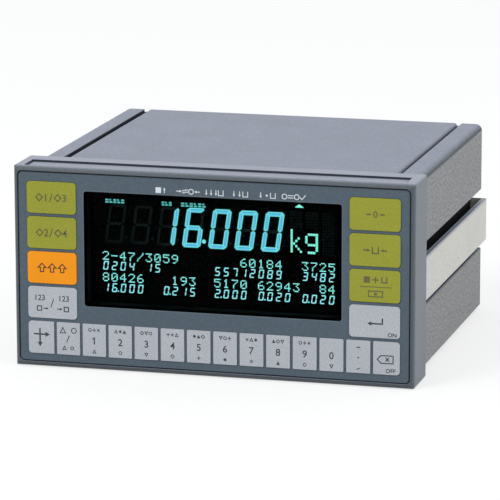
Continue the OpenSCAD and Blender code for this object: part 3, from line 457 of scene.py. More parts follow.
# One look for each material slot of the CAD part
looks = {
    # The bezel's front and underside are painted darker, as shade, and its top lighter and bluer, as painted
    # light
    "bezel": surface("bezel_plastic", linear(122, 129, 138), rough=0.52, grain=0.3, grain_size=0.35,
                     speckle=0.14, speckle_size=0.8, edge=0.10, edge_r=0.35, specular=0.3,
                     painted_tones_by_facing={"front": linear(84, 91, 97), "top": linear(152, 157, 171),
                            "low": linear(84, 88, 92)}, places=BEZEL_STEP_SHADE),
    # Painted light on tops and painted shade on undersides
    "body_paint": surface("body_paint", WALL, speckle=0.14, speckle_size=0.9,
                          painted_tones_by_facing={"top": PAINT_WITH_TOP_LIGHT, "low": UNDERSIDE_SHADE}, **PAINTED_WALL),
    "sheet": surface("sheet_film", linear(86, 100, 111), edge=0.08, edge_r=0.15, specular=0.2,
                     **FILM_FINISH, **FINE_SPECKLE),
    "tube": surface("tube_glass", linear(6, 9, 9), rough=0.4, specular=0.02, cloud=0.1),
    "black_plastic": surface("black_plastic", linear(34, 35, 38), rough=0.45, grain=0.3, speckle=0.05,
                             edge=0.3),
    "key_olive": surface("key_olive_film", linear(155, 157, 51), edge=0.22, edge_r=0.35, specular=0.3,
                         **FILM_FINISH, **FINE_SPECKLE),
    "key_orange": surface("key_orange_film", linear(255, 158, 18), speckle=0.03, edge=0.15,
                          edge_r=0.35, specular=0.25, **FILM_FINISH),
    "key_grey": surface("key_pale_film", linear(187, 191, 198), edge=0.12, edge_r=0.3, specular=0.3,
                        **FILM_FINISH, **FINE_SPECKLE),
    # The rail's top is painted lighter and bluer, as painted light
    "rail": surface("rail_plating", linear(210, 209, 202), rough=0.45, metallic=0.25, grain=0.25,
                    grain_size=0.3, speckle=0.13, speckle_size=1.2, edge=0.03, specular=0.4,
                    painted_tones_by_facing={"top": linear(176, 184, 200)}, places=RAIL_EDGE_LIGHT_AND_SHADE),
    "steel": surface("plated_steel", linear(200, 200, 198), rough=0.33, metallic=1.0, grain=0.1,
                     speckle=0.03, edge=0.1),
    "rubber": surface("rubber", linear(30, 30, 31), rough=0.8, grain=0.4, speckle=0.08),
    "laminate": surface("board_laminate", linear(28, 98, 62), rough=0.4, grain=0.15, grain_size=0.5,
                        speckle=0.12, coat=0.3),
    "capacitor": surface("capacitor_sleeve", linear(28, 34, 72), rough=0.35, speckle=0.04, edge=0.2),
    "core": surface("core_sheets", linear(92, 92, 96), rough=0.5, metallic=0.8, grain=0.5,
                    speckle=0.15, stretch=(0.02, 1, 1), speckle_size=0.4),
    "copper": surface("enamelled_wire", linear(196, 110, 50), rough=0.3, metallic=0.6, grain=0.6,
                      grain_size=0.5, speckle=0.12, stretch=(0.1, 0.1, 1)),
    "ribbon": surface("ribbon_sheath", linear(150, 150, 154), rough=0.5, grain=0.5, speckle=0.1,
                      stretch=(1, 0.02, 0.02), speckle_size=1.2),
    "brass": surface("brass_blade", linear(206, 178, 112), rough=0.28, metallic=1.0, speckle=0.03,
                     edge=0.1),
    "fuse_glass": glass("fuse_glass", (0.9, 0.93, 0.93)),
    "terminal": surface("terminal_plastic", linear(44, 104, 72), rough=0.45, grain=0.25, speckle=0.04,
                        edge=0.2),
    "window": glass("smoked_pane", (0.26, 0.33, 0.34), rough=0.005, specular=0.1, ior=1.05),
}
ink_dark = ink("ink_dark", 66, 70, 80)
ink_olive = ink("ink_olive", 106, 103, 72)
ink_orange = ink("ink_orange", 104, 76, 50)
ink_white = ink("ink_white", 226, 231, 235, cloud=0.04, speckle=0.06)
# A pale line round the window: a painted highlight along the edge of its opening
window_edge_highlight = ink("window_edge_highlight", 106, 119, 127, rough=0.5, cloud=0.04, speckle=0.06)
# A dark line at the key sheet's edge: painted shade
sheet_edge_shade = ink("sheet_edge_shade", 50, 59, 66, rough=0.6, cloud=0.05, speckle=0.06)
# A dark strip in the gap round the key sheet: painted shade
gap_shade = surface("painted_gap_shade", linear(18, 22, 27), rough=0.7, cloud=0.1, speckle=0.1, specular=0.1)
lit_big = lamp_paint("phosphor_blue", linear(110, 200, 238), strength=3.0, mesh_lines=0.35)
lit_edge = lamp_paint("phosphor_edge", linear(134, 240, 230), strength=3.1)
lit_small = lamp_paint("phosphor_small", linear(162, 238, 242), strength=3.5)
lit_green = lamp_paint("phosphor_green", linear(142, 240, 212), strength=3.8)
lit_words = lamp_paint("phosphor_words", linear(150, 238, 230), strength=4.4)
lit_dim = lamp_paint("phosphor_dim", linear(112, 218, 208), strength=2.5)
# A dim glow round the lit segments: a painted halo of light
halo = lamp_paint("phosphor_halo", linear(20, 74, 76), strength=1.7)
unlit = surface("phosphor_off", linear(58, 68, 68), rough=0.7, cloud=0.1, specular=0.1)

# The walls and the covers share a material slot with other painted parts, but have looks of their own, each
# with painted light and shade
# On the walls the turn of the rounded upper edge is painted darker, as shade
wall_paint = surface("wall_paint", WALL, speckle=0.36, speckle_size=1.4,
                     painted_tones_by_facing={"top": PAINT_WITH_TOP_LIGHT, "low": UNDERSIDE_SHADE, "turn": linear(74, 84, 90)},
                     places=WALL_CHANNEL_SHADE, **PAINTED_WALL)
cover_paint = surface("cover_paint", PAINT_WITH_TOP_LIGHT, speckle=0.12, speckle_size=0.9, places=COVER_FOOT_SHADE,
                      **PAINTED)
own_look = {"left_side_wall": wall_paint, "right_side_wall": wall_paint, "top_cover": cover_paint,
            "bottom_cover": cover_paint}
slot_of = {s["node"]: s["material_slot"] for s in frame["record"]["subparts"]}
for name, obj in nodes.items():
    obj.data.materials.clear()
    obj.data.materials.append(own_look.get(name, looks[slot_of[name]]))

# Display content

TUBE_FACE = box_mm("display_tube")[0][1]
LIT = (TUBE_FACE - 0.1, TUBE_FACE + 0.1)
UNLIT_DOT = (TUBE_FACE - 0.05, TUBE_FACE + 0.1)

# Large digits: size, pitch and slant of a cell, then the two line widths and the decimal point
CELL_W, CELL_H, CELL_STEP, CELL_LEAN = 8.5, 18.4, 12.6, 2.7
FIRST_CELL_X, BIG_Z = -54.2, 59.6
BIG_T, BIG_GAP = 1.7, 0.3
OFF_T, OFF_GAP = 1.3, 0.4
POINT_CELL, POINT_OUT, POINT_Z, POINT_R = 3, 1.95, BIG_Z + 2.9, 0.95
OFF_POINT_OUT, OFF_POINT_R = 2.1, 0.7

# Small rows: numbers of seven segments, set in by SMALL_IN, below words of dots
SMALL_W, SMALL_H, SMALL_STEP, SMALL_LEAN = 2.4, 4.1, 4.2, 0.6
SMALL_T, SMALL_GAP, SMALL_IN = 0.48, 0.16, 0.05
SMALL_POINT_X, SMALL_POINT_Z, SMALL_POINT_R = 3.25, 0.45, 0.36
LEFT_X, RIGHT_X = -55.1, -1.0
WORD_ROWS, NUMBER_ROWS = (51.35, 41.1), (46.6, 36.1)
# The steps of a word's dots in x and in z, and the share of a step that a dot fills
WORD_DOTS = (0.62, 0.6, 0.74)

# How far a segment's corner is cut back, as a share of its width, and the lit segments of each number
CORNER_CUT = 0.6
SEGMENTS = {"0": "abcdef", "1": "bc", "2": "abged", "3": "abgcd", "4": "fgbc", "5": "afgcd",
            "6": "afgedc", "7": "abc", "8": "abcdefg", "9": "abcdfg", " ": ""}


def segment_shapes(w, h, t, gap):
    """Outlines of the seven segments in a box of w by h, mitred where two meet at a corner."""
    mid = h / 2
    cut = t * CORNER_CUT
    slit = gap / 3
    right = [(w, h - cut), (w, mid + t / 2), (w - t / 2, mid + gap), (w - t, mid + t / 2),
             (w - t, h - t - slit), (w - cut / 2, h - cut / 2 - slit)]
    top = [(cut, h), (w - cut, h), (w - cut / 2 - slit, h - cut / 2), (w - t - slit, h - t),
           (t + slit, h - t), (cut / 2 + slit, h - cut / 2)]
    bar = [(t / 2 + gap, mid), (t + gap / 2, mid + t / 2), (w - t - gap / 2, mid + t / 2),
           (w - t / 2 - gap, mid), (w - t - gap / 2, mid - t / 2), (t + gap / 2, mid - t / 2)]

    def flip_x(pts):
        return [(w - x, z) for x, z in pts]

    def flip_z(pts):
        return [(x, h - z) for x, z in pts]

    return {"a": top, "b": right, "c": flip_z(right), "d": flip_z(top), "e": flip_x(flip_z(right)),
            "f": flip_x(right), "g": bar}


def digit(piece, lit, x, z, w, h, t, gap, lean, rims=()):
    """Segments of one digit, and a closed line round each for every (piece, width, depth) of rims."""
    shapes = segment_shapes(w, h, t, gap)
    for s in lit:
        outline = [(x + a + lean * b / h, z + b) for a, b in shapes[s]]
        piece.prism(outline, *LIT)
        for rim, width, depth in rims:
            rim.stroke(outline, width, *depth, closed=True)


big = Piece()
off = Piece()
edges = Piece()
glow_ring = Piece()
# glow_ring carries a painted halo of glow round each lit segment
EDGE_W, HALO_W = 0.36, 1.9
RIMS = ((edges, EDGE_W, (TUBE_FACE - 0.18, TUBE_FACE)), (glow_ring, HALO_W, (TUBE_FACE, TUBE_FACE + 0.1)))
for cell, shown in enumerate("  16000"):
    x = FIRST_CELL_X + cell * CELL_STEP
    digit(big, SEGMENTS[shown], x, BIG_Z, CELL_W, CELL_H, BIG_T, BIG_GAP, CELL_LEAN, RIMS)
    dark = [s for s in "abcdefg" if s not in SEGMENTS[shown]]
    digit(off, dark, x, BIG_Z, CELL_W, CELL_H, OFF_T, OFF_GAP, CELL_LEAN)
    if cell == POINT_CELL:
        edges.disc(x + CELL_W + POINT_OUT, POINT_Z, POINT_R, *LIT)
    else:
        off.disc(x + CELL_W + OFF_POINT_OUT, POINT_Z, OFF_POINT_R, *LIT, n=12)
big.make("display_digits", lit_big, "case")
edges.make("display_edges", lit_edge, "case")
glow_ring.make("display_halo", halo, "case")

DOTS = {
    "0": ".###. #...# #..## #.#.# ##..# #...# .###.", "1": "..#.. .##.. ..#.. ..#.. ..#.. ..#.. .###.",
    "2": ".###. #...# ....# ...#. ..#.. .#... #####", "3": "##### ...#. ..#.. ...#. ....# #...# .###.",
    "4": "...#. ..##. .#.#. #..#. ##### ...#. ...#.", "5": "##### #.... ####. ....# ....# #...# .###.",
    "6": "..##. .#... #.... ####. #...# #...# .###.", "7": "##### ....# ...#. ..#.. .#... .#... .#...",
    "8": ".###. #...# #...# .###. #...# #...# .###.", "9": ".###. #...# #...# .#### ....# ...#. .##..",
    "-": "..... ..... ..... ##### ..... ..... .....", "/": "....# ....# ...#. ..#.. .#... #.... #....",
    "k": "#.... #.... #.... #..#. #.#.. ##... #.#.. #..#. #...#",
    "g": ".#### #...# #...# #...# .#### ....# ....# .###.",
}


def dots(piece, char, x, z, step_x, step_z, size):
    """A dot-matrix character whose lowest row starts at z. A dot fills a share, size, of its step."""
    rows = DOTS[char].split()
    for i, row in enumerate(reversed(rows)):
        for j, mark in enumerate(row):
            if mark == "#":
                a = x + j * step_x
                b = z + i * step_z
                piece.bar(a, b, a + size * step_x, b + size * step_z, *LIT)


# The unit's characters, each with its lower left corner and the steps of its dots
UNIT_CHARS = (("k", 35.6, 59.7, 1.1, 1.23), ("g", 42.5, 59.4, 1.24, 1.22))
UNIT_FILL = 0.84
unit = Piece()
for char, x, z, step_x, step_z in UNIT_CHARS:
    dots(unit, char, x, z, step_x, step_z, UNIT_FILL)
unit.make("display_unit", lit_green, "case")

# The unlit dots of the unit's three cells, of which the first two are lit in their lower rows
GRID_X, GRID_Z, GRID_CELL, GRID_STEP_X, GRID_STEP_Z = 35.3, 59.1, 7.7, 1.18, 1.36
GRID_ROWS, GRID_COLUMNS, LIT_ROWS = 15, 5, 9
GRID_DOT_W, GRID_DOT_H = 0.8, 0.9
for cell in range(3):
    for i in range(0 if cell == 2 else LIT_ROWS, GRID_ROWS):
        for j in range(GRID_COLUMNS):
            a = GRID_X + cell * GRID_CELL + j * GRID_STEP_X
            b = GRID_Z + i * GRID_STEP_Z
            off.bar(a, b, a + GRID_DOT_W, b + GRID_DOT_H, *UNLIT_DOT)
off.make("display_unlit", unlit, "case")

small = Piece()
for z, left, right in ((WORD_ROWS[0], "2-47/3059", "   60184  3725"),
                       (WORD_ROWS[1], "80426   193", "5170 62943  84")):
    for x0, string in ((LEFT_X, left), (RIGHT_X, right)):
        for i, char in enumerate(string):
            if char != " ":
                dots(small, char, x0 + i * SMALL_STEP, z, *WORD_DOTS)
small.make("display_words", lit_words, "case")

numbers = Piece()
for z, left, right in ((NUMBER_ROWS[0], "0204 15", "55712089  3482"),
                       (NUMBER_ROWS[1], "16000  0215", "2000 0020 0020")):
    for x0, string in ((LEFT_X, left), (RIGHT_X, right)):
        for i, char in enumerate(string):
            digit(numbers, SEGMENTS[char], x0 + i * SMALL_STEP + SMALL_IN, z, SMALL_W, SMALL_H, SMALL_T,
                  SMALL_GAP, SMALL_LEAN)
for x0, place in ((LEFT_X, 1), (LEFT_X, 7), (RIGHT_X, 0), (RIGHT_X, 5), (RIGHT_X, 10)):
    numbers.disc(x0 + place * SMALL_STEP + SMALL_POINT_X, NUMBER_ROWS[1] + SMALL_POINT_Z, SMALL_POINT_R,
                 *LIT, n=10)
numbers.make("display_numbers", lit_small, "case")

# Three lit status marks, each a row of short blocks over another
MARK_LOW, MARK_HIGH, MARK_H, MARK_FILL, MARK_SHORT = 78.6, 79.7, 0.7, 0.72, 0.4
marks = Piece()
for x0, x1, count in ((-53.5, -43.9, 5), (-26.2, -21.0, 3), (-16.8, -4.5, 6)):
    step = (x1 - x0) / count
    for i in range(count):
        for z, fill in ((MARK_LOW, MARK_FILL), (MARK_HIGH, MARK_SHORT if i % 2 else MARK_FILL)):
            marks.bar(x0 + i * step, z, x0 + (i + fill) * step, z + MARK_H, *LIT)
marks.make("display_marks", lit_dim, "case")
POINTER_X, POINTER_W, POINTER_LOW, POINTER_HIGH = 39.65, 4.3, 80.9, 82.5
pointer = Piece()
pointer.prism([(POINTER_X - POINTER_W / 2, POINTER_LOW), (POINTER_X + POINTER_W / 2, POINTER_LOW),
               (POINTER_X, POINTER_HIGH)], *LIT)
pointer.make("display_pointer", lit_green, "case")

# Printed legends

PROUD = 0.02
KEY_FACE = box_mm("key_1")[0][1]
SHEET_FACE = box_mm("key_sheet")[0][1]
KEY = (KEY_FACE - PROUD, KEY_FACE + 0.04)
# Where two lines of a mark cross, the second is a hair nearer, so that no faces coincide
OVER = (KEY[0] - 0.005, KEY[1])
FILM = (SHEET_FACE - PROUD, SHEET_FACE + 0.05)
ARROW_HEAD = 0.42

# Marks in a box from -1 to 1: filled shapes, closed lines, and arrows from tail to tip
BOX = ((-1, -1), (1, -1), (1, 1), (-1, 1))
TRIANGLE = ((-1, -1), (1, -1), (0, 1))
RHOMB = ((-1, 0), (0, -1), (1, 0), (0, 1))
CIRCLE = tuple((math.cos(math.pi * i / 8), math.sin(math.pi * i / 8)) for i in range(16))
FILLED = {"block": BOX, "wedge": TRIANGLE, "gem": RHOMB}
OUTLINED = {"square": BOX, "up": TRIANGLE, "down": ((-1, 1), (1, 1), (0, -1)), "ring": CIRCLE}
ARROWS = {"drop": ((0, 1), (0, -1)), "lift": ((0, -1), (0, 1)), "to": ((-1, 0), (1, 0)),
          "back": ((1, 0), (-1, 0))}


def placed(pts, x, z, scale):
    return [(x + a * scale, z + b * scale) for a, b in pts]


def line(piece, *pts, w=0.42, y=KEY, closed=False):
    piece.stroke(list(pts), w, *y, closed=closed)


def cross_outline(x, z, h, t, turned):
    """The twelve corners of a plus sign, or of a times sign when turned."""
    w = t / 2
    corners = [(w, h), (w, w), (h, w), (h, -w), (w, -w), (w, -h), (-w, -h), (-w, -w), (-h, -w), (-h, w),
               (-w, w), (-w, h)]
    c = math.cos(turned)
    s = math.sin(turned)
    return [(x + a * c - b * s, z + a * s + b * c) for a, b in corners]


def glyph(piece, kind, x, z, s, t=0.4, y=KEY):
    """A small generic mark in a box of side s, with lines of width t: no letters and no words."""
    h = s / 2
    inner = h - t / 2
    if kind in FILLED:
        piece.prism(placed(FILLED[kind], x, z, h), *y)
    elif kind in OUTLINED:
        line(piece, *placed(OUTLINED[kind], x, z, inner), w=t, y=y, closed=True)
    elif kind in ARROWS:
        tail, tip = placed(ARROWS[kind], x, z, h)
        piece.arrow(*tail, *tip, t, s * ARROW_HEAD, *y)
    elif kind == "diamond":
        line(piece, *placed(RHOMB, x, z, h), w=t, y=y, closed=True)
    elif kind == "dot":
        piece.disc(x, z, 0.4 * h, *y, n=12)
    elif kind == "plus":
        piece.prism(cross_outline(x, z, h, t, 0.0), *y)
    elif kind == "times":
        piece.prism(cross_outline(x, z, h, t, math.pi / 4), *y)
    elif kind == "equal":
        for part in (-0.4, 0.4):
            line(piece, (x - h, z + part * h), (x + h, z + part * h), w=t, y=y)
    elif kind == "wave":
        for part in (-0.35, 0.4):
            line(piece, *[(x + h * u, z + h * (part + 0.22 * math.sin(math.pi * u)))
                          for u in (-1.0, -0.6, -0.2, 0.2, 0.6, 1.0)], w=t, y=y)
    elif kind == "tray":
        line(piece, (x - inner, z + h), (x - inner, z - inner), (x + inner, z - inner), (x + inner, z + h),
             w=t, y=y)
    elif kind == "tick":
        line(piece, (x - h, z), (x - h * 0.3, z - h * 0.8), (x + h, z + h * 0.8), w=t, y=y)


def glyph_row(piece, kinds, x, z, s, pitch, t=0.4, y=KEY):
    for i, kind in enumerate(kinds):
        glyph(piece, kind, x + (i - (len(kinds) - 1) / 2) * pitch, z, s, t, y)


def legend(key, paint, draw):
    """Prints on a key: draw gets the piece and the key's middle, and its places are in mm from there."""
    piece = Piece()
    draw(piece, *middle(key))
    piece.make(f"legend_{key}", paint, f"{key}_cap")


def pair_legend(first, second):
    """Diamond and number, a slash, diamond and number."""
    def draw(p, x, z):
        for out, number in ((-5.85, first), (3.15, second)):
            glyph(p, "diamond", x + out, z, 3.3, 0.55)
            p.text(number, x + out + 3.2, z, 3.5, *KEY)
        line(p, (x - 0.85, z - 2.0), (x + 0.55, z + 2.0), w=0.45)
    return draw


def draw_shift(p, x, z):
    for out in (-4.95, 0.0, 4.95):
        c = x + out
        line(p, (c - 0.8, z - 2.0), (c + 0.8, z - 2.0), (c + 0.8, z), (c + 1.9, z), (c, z + 2.0),
             (c - 1.9, z), (c - 0.8, z), w=0.55, closed=True)


def draw_code(p, x, z):
    for out, row_out, kinds in ((-6.05, -4.85, ("square", "to")), (5.75, 5.15, ("to", "square"))):
        p.text("123", x + out, z + 2.2, 2.7, *KEY)
        glyph_row(p, kinds, x + row_out, z - 2.9, 2.6, 3.2, 0.5)
    line(p, (x - 0.85, z - 2.3), (x + 0.55, z + 1.9), w=0.4)


def draw_zero(p, x, z):
    p.arrow(x - 4.25, z, x - 1.75, z, 0.6, 1.2, *KEY)
    p.text("0", x + 0.15, z, 3.2, *KEY)
    p.arrow(x + 4.55, z, x + 2.05, z, 0.6, 1.2, *KEY)


def draw_tare(p, x, z):
    p.arrow(x - 5.45, z, x - 2.25, z, 0.6, 1.4, *KEY)
    glyph(p, "tray", x + 0.15, z, 3.4, 0.6)
    p.arrow(x + 5.75, z, x + 2.55, z, 0.6, 1.4, *KEY)


def draw_net(p, x, z):
    glyph_row(p, ("block", "plus", "tray"), x + 0.35, z + 2.95, 2.9, 4.1, 0.6)
    line(p, (x - 6.95, z - 0.4), (x + 7.95, z - 0.4), w=0.35)
    line(p, (x - 2.95, z - 4.95), (x + 3.65, z - 4.95), (x + 3.65, z - 2.35), (x - 2.95, z - 2.35),
         w=0.5, closed=True)
    glyph(p, "block", x + 0.35, z - 3.65, 1.3)


def draw_on(p, x, z):
    line(p, (x + 3.65, z + 1.8), (x + 3.65, z - 0.9), (x - 1.15, z - 0.9), w=0.65)
    p.arrow(x - 0.45, z - 0.9, x - 3.45, z - 0.9, 0.65, 1.9, *KEY)
    p.text("ON", x + 8.25, z - 5.9, 2.0, *KEY, bold=0.02)


def draw_cursor(p, x, z):
    p.arrow(x - 3.7, z + 1.5, x + 4.2, z + 1.5, 0.7, 2.2, *KEY)
    p.arrow(x - 0.7, z + 4.4, x - 0.7, z - 4.5, 0.7, 2.2, *OVER)


def draw_marks(p, x, z):
    glyph(p, "up", x - 2.7, z + 4.0, 3.0, 0.42)
    glyph(p, "ring", x + 2.7, z + 4.0, 2.8, 0.42)
    line(p, (x - 0.9, z - 1.8), (x + 0.5, z + 1.6), w=0.42)
    glyph(p, "up", x - 2.0, z - 4.5, 2.0, 0.36)
    glyph(p, "ring", x + 1.8, z - 4.5, 1.8, 0.36)


UPPER = ("ring", "up", "diamond", "plus", "gem", "down", "times", "wedge")
LOWER = ("up", "ring", "down", "diamond", "plus", "gem", "times", "wedge", "ring", "down")


def digit_legend(name, order):
    """A number with three small marks above it and one below."""
    def draw(p, x, z):
        p.text(name, x, z - 0.3, 3.4, *KEY)
        if name == "1":
            # A flag, so that the number doesn't read as a plain bar
            line(p, (x - 1.0, z + 0.45), (x, z + 1.2), w=0.4, y=OVER)
        if name != "0":
            kinds = [UPPER[(order + 3 * i) % len(UPPER)] for i in range(3)]
            glyph_row(p, kinds, x, z + 4.9, 1.7, 2.05, 0.34)
        glyph(p, LOWER[order], x, z - 5.4, 1.8, 0.34)
    return draw


def draw_sign(p, x, z):
    line(p, (x - 0.9, z + 4.4), (x + 0.9, z + 4.4), w=0.5)
    p.disc(x, z - 0.4, 0.4, *KEY)
    line(p, (x - 0.7, z - 6.1), (x + 0.7, z - 5.3), w=0.42)


def draw_off(p, x, z):
    left = x - 0.4
    mid = z - 0.6
    line(p, (left - 3.9, mid), (left - 2.2, mid - 1.8), (left + 3.5, mid - 1.8), (left + 3.5, mid + 1.8),
         (left - 2.2, mid + 1.8), w=0.5, closed=True)
    glyph(p, "times", left + 0.8, mid, 2.4, 0.5)
    p.text("OFF", x + 2.0, z - 5.9, 2.0, *KEY, bold=0.02)


legend("key_function_1", ink_olive, pair_legend("1", "3"))
legend("key_function_2", ink_olive, pair_legend("2", "4"))
legend("key_shift", ink_orange, draw_shift)
legend("key_code", ink_dark, draw_code)
legend("key_zero", ink_olive, draw_zero)
legend("key_tare", ink_olive, draw_tare)
legend("key_net", ink_olive, draw_net)
legend("key_on", ink_dark, draw_on)
legend("key_cursor", ink_dark, draw_cursor)
legend("key_letters", ink_dark, draw_marks)
for order, name in enumerate("1234567890"):
    legend(f"key_{name}", ink_dark, digit_legend(name, order))
legend("key_sign", ink_dark, draw_sign)
legend("key_off", ink_dark, draw_off)

# The row of marks above the window: middle, marks and pitch of each group
SHEET_MARKS = ((-24.0, ("block", "lift"), 2.9), (-11.2, ("to", "wave", "ring", "back"), 2.9),
               (1.0, ("drop", "drop", "drop", "tray"), 2.3), (13.4, ("drop", "drop", "tray"), 2.7),
               (26.3, ("drop", "dot", "tray"), 2.9), (39.0, ("ring", "equal", "ring", "tick"), 2.9))
SHEET_MARK_Z, SHEET_MARK_SIZE, SHEET_MARK_LINE = 87.4, 2.7, 0.42
white = Piece()
for x, kinds, pitch in SHEET_MARKS:
    glyph_row(white, kinds, x, SHEET_MARK_Z, SHEET_MARK_SIZE, pitch, SHEET_MARK_LINE, FILM)
white.make("sheet_legends", ink_white, "case")

# The number of steps that a round corner takes
ARC_STEPS = 6


def frame_line(node, out, corner, width, depth, name, paint):
    """A closed line with round corners, a set distance outside the box of a node."""
    low, high = box_mm(node)
    mid_x, mid_z = middle(node)
    in_x = (high[0] - low[0]) / 2 + out - corner
    in_z = (high[2] - low[2]) / 2 + out - corner
    outline = []
    for side_x, side_z, start in ((1, 1, 0), (-1, 1, 90), (-1, -1, 180), (1, -1, 270)):
        for i in range(ARC_STEPS + 1):
            angle = math.radians(start + i * 90 / ARC_STEPS)
            outline.append((mid_x + side_x * in_x + corner * math.cos(angle),
                            mid_z + side_z * in_z + corner * math.sin(angle)))
    piece = Piece()
    piece.stroke(outline, width, *depth, closed=True)
    piece.make(name, paint, "case")


GAP_DEPTH = (SHEET_FACE + 0.35, SHEET_FACE + 0.65)
# A painted highlight round the window, then painted shade in the gap round the key sheet and at its edge
frame_line("display_window", out=0.35, corner=1.5, width=0.35, depth=FILM, name="window_highlight_line",
           paint=window_edge_highlight)
frame_line("key_sheet", out=0.22, corner=2.2, width=0.38, depth=GAP_DEPTH, name="sheet_gap_shade",
           paint=gap_shade)
frame_line("key_sheet", out=-0.16, corner=1.85, width=0.24, depth=FILM, name="sheet_shade_line",
           paint=sheet_edge_shade)

# Plugs at the channels' front ends

# The channel's height, and its mouth, floor and runner slot in x, all with a little play
CHANNEL_LOW, CHANNEL_HIGH = 31.6, 60.9
MOUTH_X, FLOOR_X, SLOT_X, SLOT_HALF = 92.2, 87.2, 81.8, 2.9
WALL_FRONT = box_mm("right_side_wall")[0][1]
RAIL_Z = middle("right_rail")[1]
for side, name in ((-1, "left_channel_plug"), (1, "right_channel_plug")):
    plug = Piece()
    outline = [(FLOOR_X, CHANNEL_LOW), (MOUTH_X, CHANNEL_LOW), (MOUTH_X, CHANNEL_HIGH),
               (FLOOR_X, CHANNEL_HIGH), (FLOOR_X, RAIL_Z + SLOT_HALF), (SLOT_X, RAIL_Z + SLOT_HALF),
               (SLOT_X, RAIL_Z - SLOT_HALF), (FLOOR_X, RAIL_Z - SLOT_HALF)]
    plug.prism([(side * x, z) for x, z in outline], WALL_FRONT + 0.2, WALL_FRONT + 1.2)
    plug.make(name, looks["rubber"], "case")

# Rear details

REAR_FACE = box_mm("rear_panel")[1][1]
REAR = (REAR_FACE + 0.03, REAR_FACE - 0.04)
TERMINALS, TERMINAL_STEP = 10, 5.08
NUMBER_DROP, NUMBER_H = 2.6, 2.0
rear = Piece(facing=-1)
terminal_x = middle("terminal_block")[0]
terminal_z = box_mm("terminal_block")[0][2]
for i in range(TERMINALS):
    x = terminal_x + (i - (TERMINALS - 1) / 2) * TERMINAL_STEP
    rear.text(str(TERMINALS - i), x, terminal_z - NUMBER_DROP, NUMBER_H, *REAR)
# The earth sign beside the power inlet: three bars that get shorter, below a stem
EARTH_OUT = 15.633
EARTH_X = middle("inlet_blades")[0] - EARTH_OUT
EARTH_Z, EARTH_STEP, EARTH_STEM, EARTH_HALF = 47.8, 0.9, 2.6, 0.2
for i, width in enumerate((4.2, 2.8, 1.4)):
    z = EARTH_Z - EARTH_STEP * i
    rear.bar(EARTH_X - width / 2, z - EARTH_HALF, EARTH_X + width / 2, z + EARTH_HALF, *REAR)
rear.bar(EARTH_X - EARTH_HALF, EARTH_Z, EARTH_X + EARTH_HALF, EARTH_Z + EARTH_STEM, *REAR)
rear.make("rear_legends", ink_white, "case")

# Stage, light and camera

# The camera as fitted to the photo: its turn, its place in mm and its focal length in pixels
YAW, PITCH, ROLL = math.radians(14.98), math.radians(-12.21), math.radians(-0.11)
EYE = (442.0, -1583.0, 416.2)
FOCAL_PX = 3646.0
SIZE_PX = 500

turn = Matrix(((math.cos(ROLL), 0, math.sin(ROLL)), (0, 1, 0), (-math.sin(ROLL), 0, math.cos(ROLL))))
tilt = Matrix(((1, 0, 0), (0, math.cos(PITCH), math.sin(PITCH)), (0, -math.sin(PITCH), math.cos(PITCH))))
swing = Matrix(((math.cos(YAW), math.sin(YAW), 0), (-math.sin(YAW), math.cos(YAW), 0), (0, 0, 1)))
right, ahead, up = turn @ tilt @ swing
camera_data = bpy.data.cameras.new("camera")
camera_data.sensor_width = 36.0
camera_data.lens = FOCAL_PX / SIZE_PX * camera_data.sensor_width
camera_data.clip_start = 0.05
camera_data.clip_end = 50.0
camera = bpy.data.objects.new("camera", camera_data)
axes = Matrix((right, up, -ahead)).transposed().to_4x4()
camera.matrix_world = Matrix.Translation(point(*EYE)) @ axes
bpy.context.scene.collection.objects.link(camera)
bpy.context.scene.camera = camera


def seen_mix(tree, hidden, seen):
    """One shader for rays from the camera, gloss and glass, another for the rest."""
    path = tree.nodes.new("ShaderNodeLightPath").outputs
    seen_or_gloss = combine(tree, "MAXIMUM", path["Is Camera Ray"], path["Is Glossy Ray"])
    mix = tree.nodes.new("ShaderNodeMixShader")
    tree.links.new(combine(tree, "MAXIMUM", seen_or_gloss, path["Is Transmission Ray"]), mix.inputs["Fac"])
    tree.links.new(hidden, mix.inputs[1])
    tree.links.new(seen, mix.inputs[2])
    return mix.outputs[0]


def shader_node(tree, kind, **values):
    node = tree.nodes.new(kind)
    for socket, value in values.items():
        node.inputs[socket].default_value = value
    return node.outputs[0]


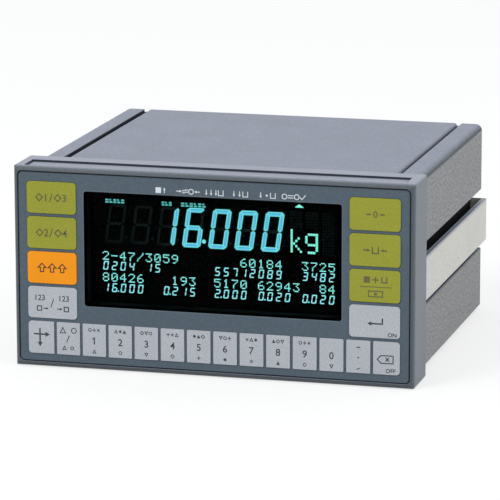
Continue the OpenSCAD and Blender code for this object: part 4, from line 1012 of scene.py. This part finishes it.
# The floor takes shadows at its seen shade, and its glow lifts it to a pale tone
FLOOR_HALF = 6
FLOOR_DROP = 0.0002
FLOOR_HIDDEN, FLOOR_SEEN, FLOOR_GLOW = (0.55, 0.55, 0.55, 1), (0.34, 0.34, 0.34, 1), 0.68
floor_mesh = bpy.data.meshes.new("floor")
floor_mesh.from_pydata([(-FLOOR_HALF, -FLOOR_HALF, 0), (FLOOR_HALF, -FLOOR_HALF, 0),
                        (FLOOR_HALF, FLOOR_HALF, 0), (-FLOOR_HALF, FLOOR_HALF, 0)], [], [[0, 1, 2, 3]])
floor = bpy.data.objects.new("floor", floor_mesh)
floor.location.z = -FLOOR_DROP
bpy.context.scene.collection.objects.link(floor)
floor_paint = bpy.data.materials.new("floor_paint")
floor_paint.use_nodes = True
tree = floor_paint.node_tree
tree.nodes.clear()
plain = shader_node(tree, "ShaderNodeBsdfDiffuse", Color=FLOOR_HIDDEN)
seen_floor = tree.nodes.new("ShaderNodeAddShader")
tree.links.new(shader_node(tree, "ShaderNodeBsdfDiffuse", Color=FLOOR_SEEN), seen_floor.inputs[0])
tree.links.new(shader_node(tree, "ShaderNodeEmission", Strength=FLOOR_GLOW), seen_floor.inputs[1])
out = tree.nodes.new("ShaderNodeOutputMaterial")
tree.links.new(seen_mix(tree, plain, seen_floor.outputs[0]), out.inputs["Surface"])
floor_mesh.materials.append(floor_paint)

world = bpy.data.worlds.new("world")
bpy.context.scene.world = world
world.use_nodes = True
tree = world.node_tree
tree.nodes.clear()
soft = shader_node(tree, "ShaderNodeBackground", Color=(0.96, 0.98, 1.0, 1), Strength=0.75)
backdrop = shader_node(tree, "ShaderNodeBackground", Color=(1, 1, 1, 1), Strength=1.0)
out = tree.nodes.new("ShaderNodeOutputWorld")
tree.links.new(seen_mix(tree, soft, backdrop), out.inputs["Surface"])


def lamp(name, place, aim, size, power):
    """A round soft lamp that looks from its place to its aim."""
    data = bpy.data.lights.new(name, "AREA")
    data.shape = "DISK"
    data.size = size
    data.energy = power
    obj = bpy.data.objects.new(name, data)
    obj.location = place
    obj.rotation_euler = (Vector(aim) - Vector(place)).to_track_quat("-Z", "Y").to_euler()
    bpy.context.scene.collection.objects.link(obj)


AIM = (0, 0, 0.04)
lamp("key_lamp", (-0.9, -1.4, 1.6), AIM, size=1.1, power=17.0)
lamp("side_lamp", (1.8, -0.5, 0.9), AIM, size=1.0, power=6.5)

bpy.context.scene.view_settings.view_transform = "Standard"
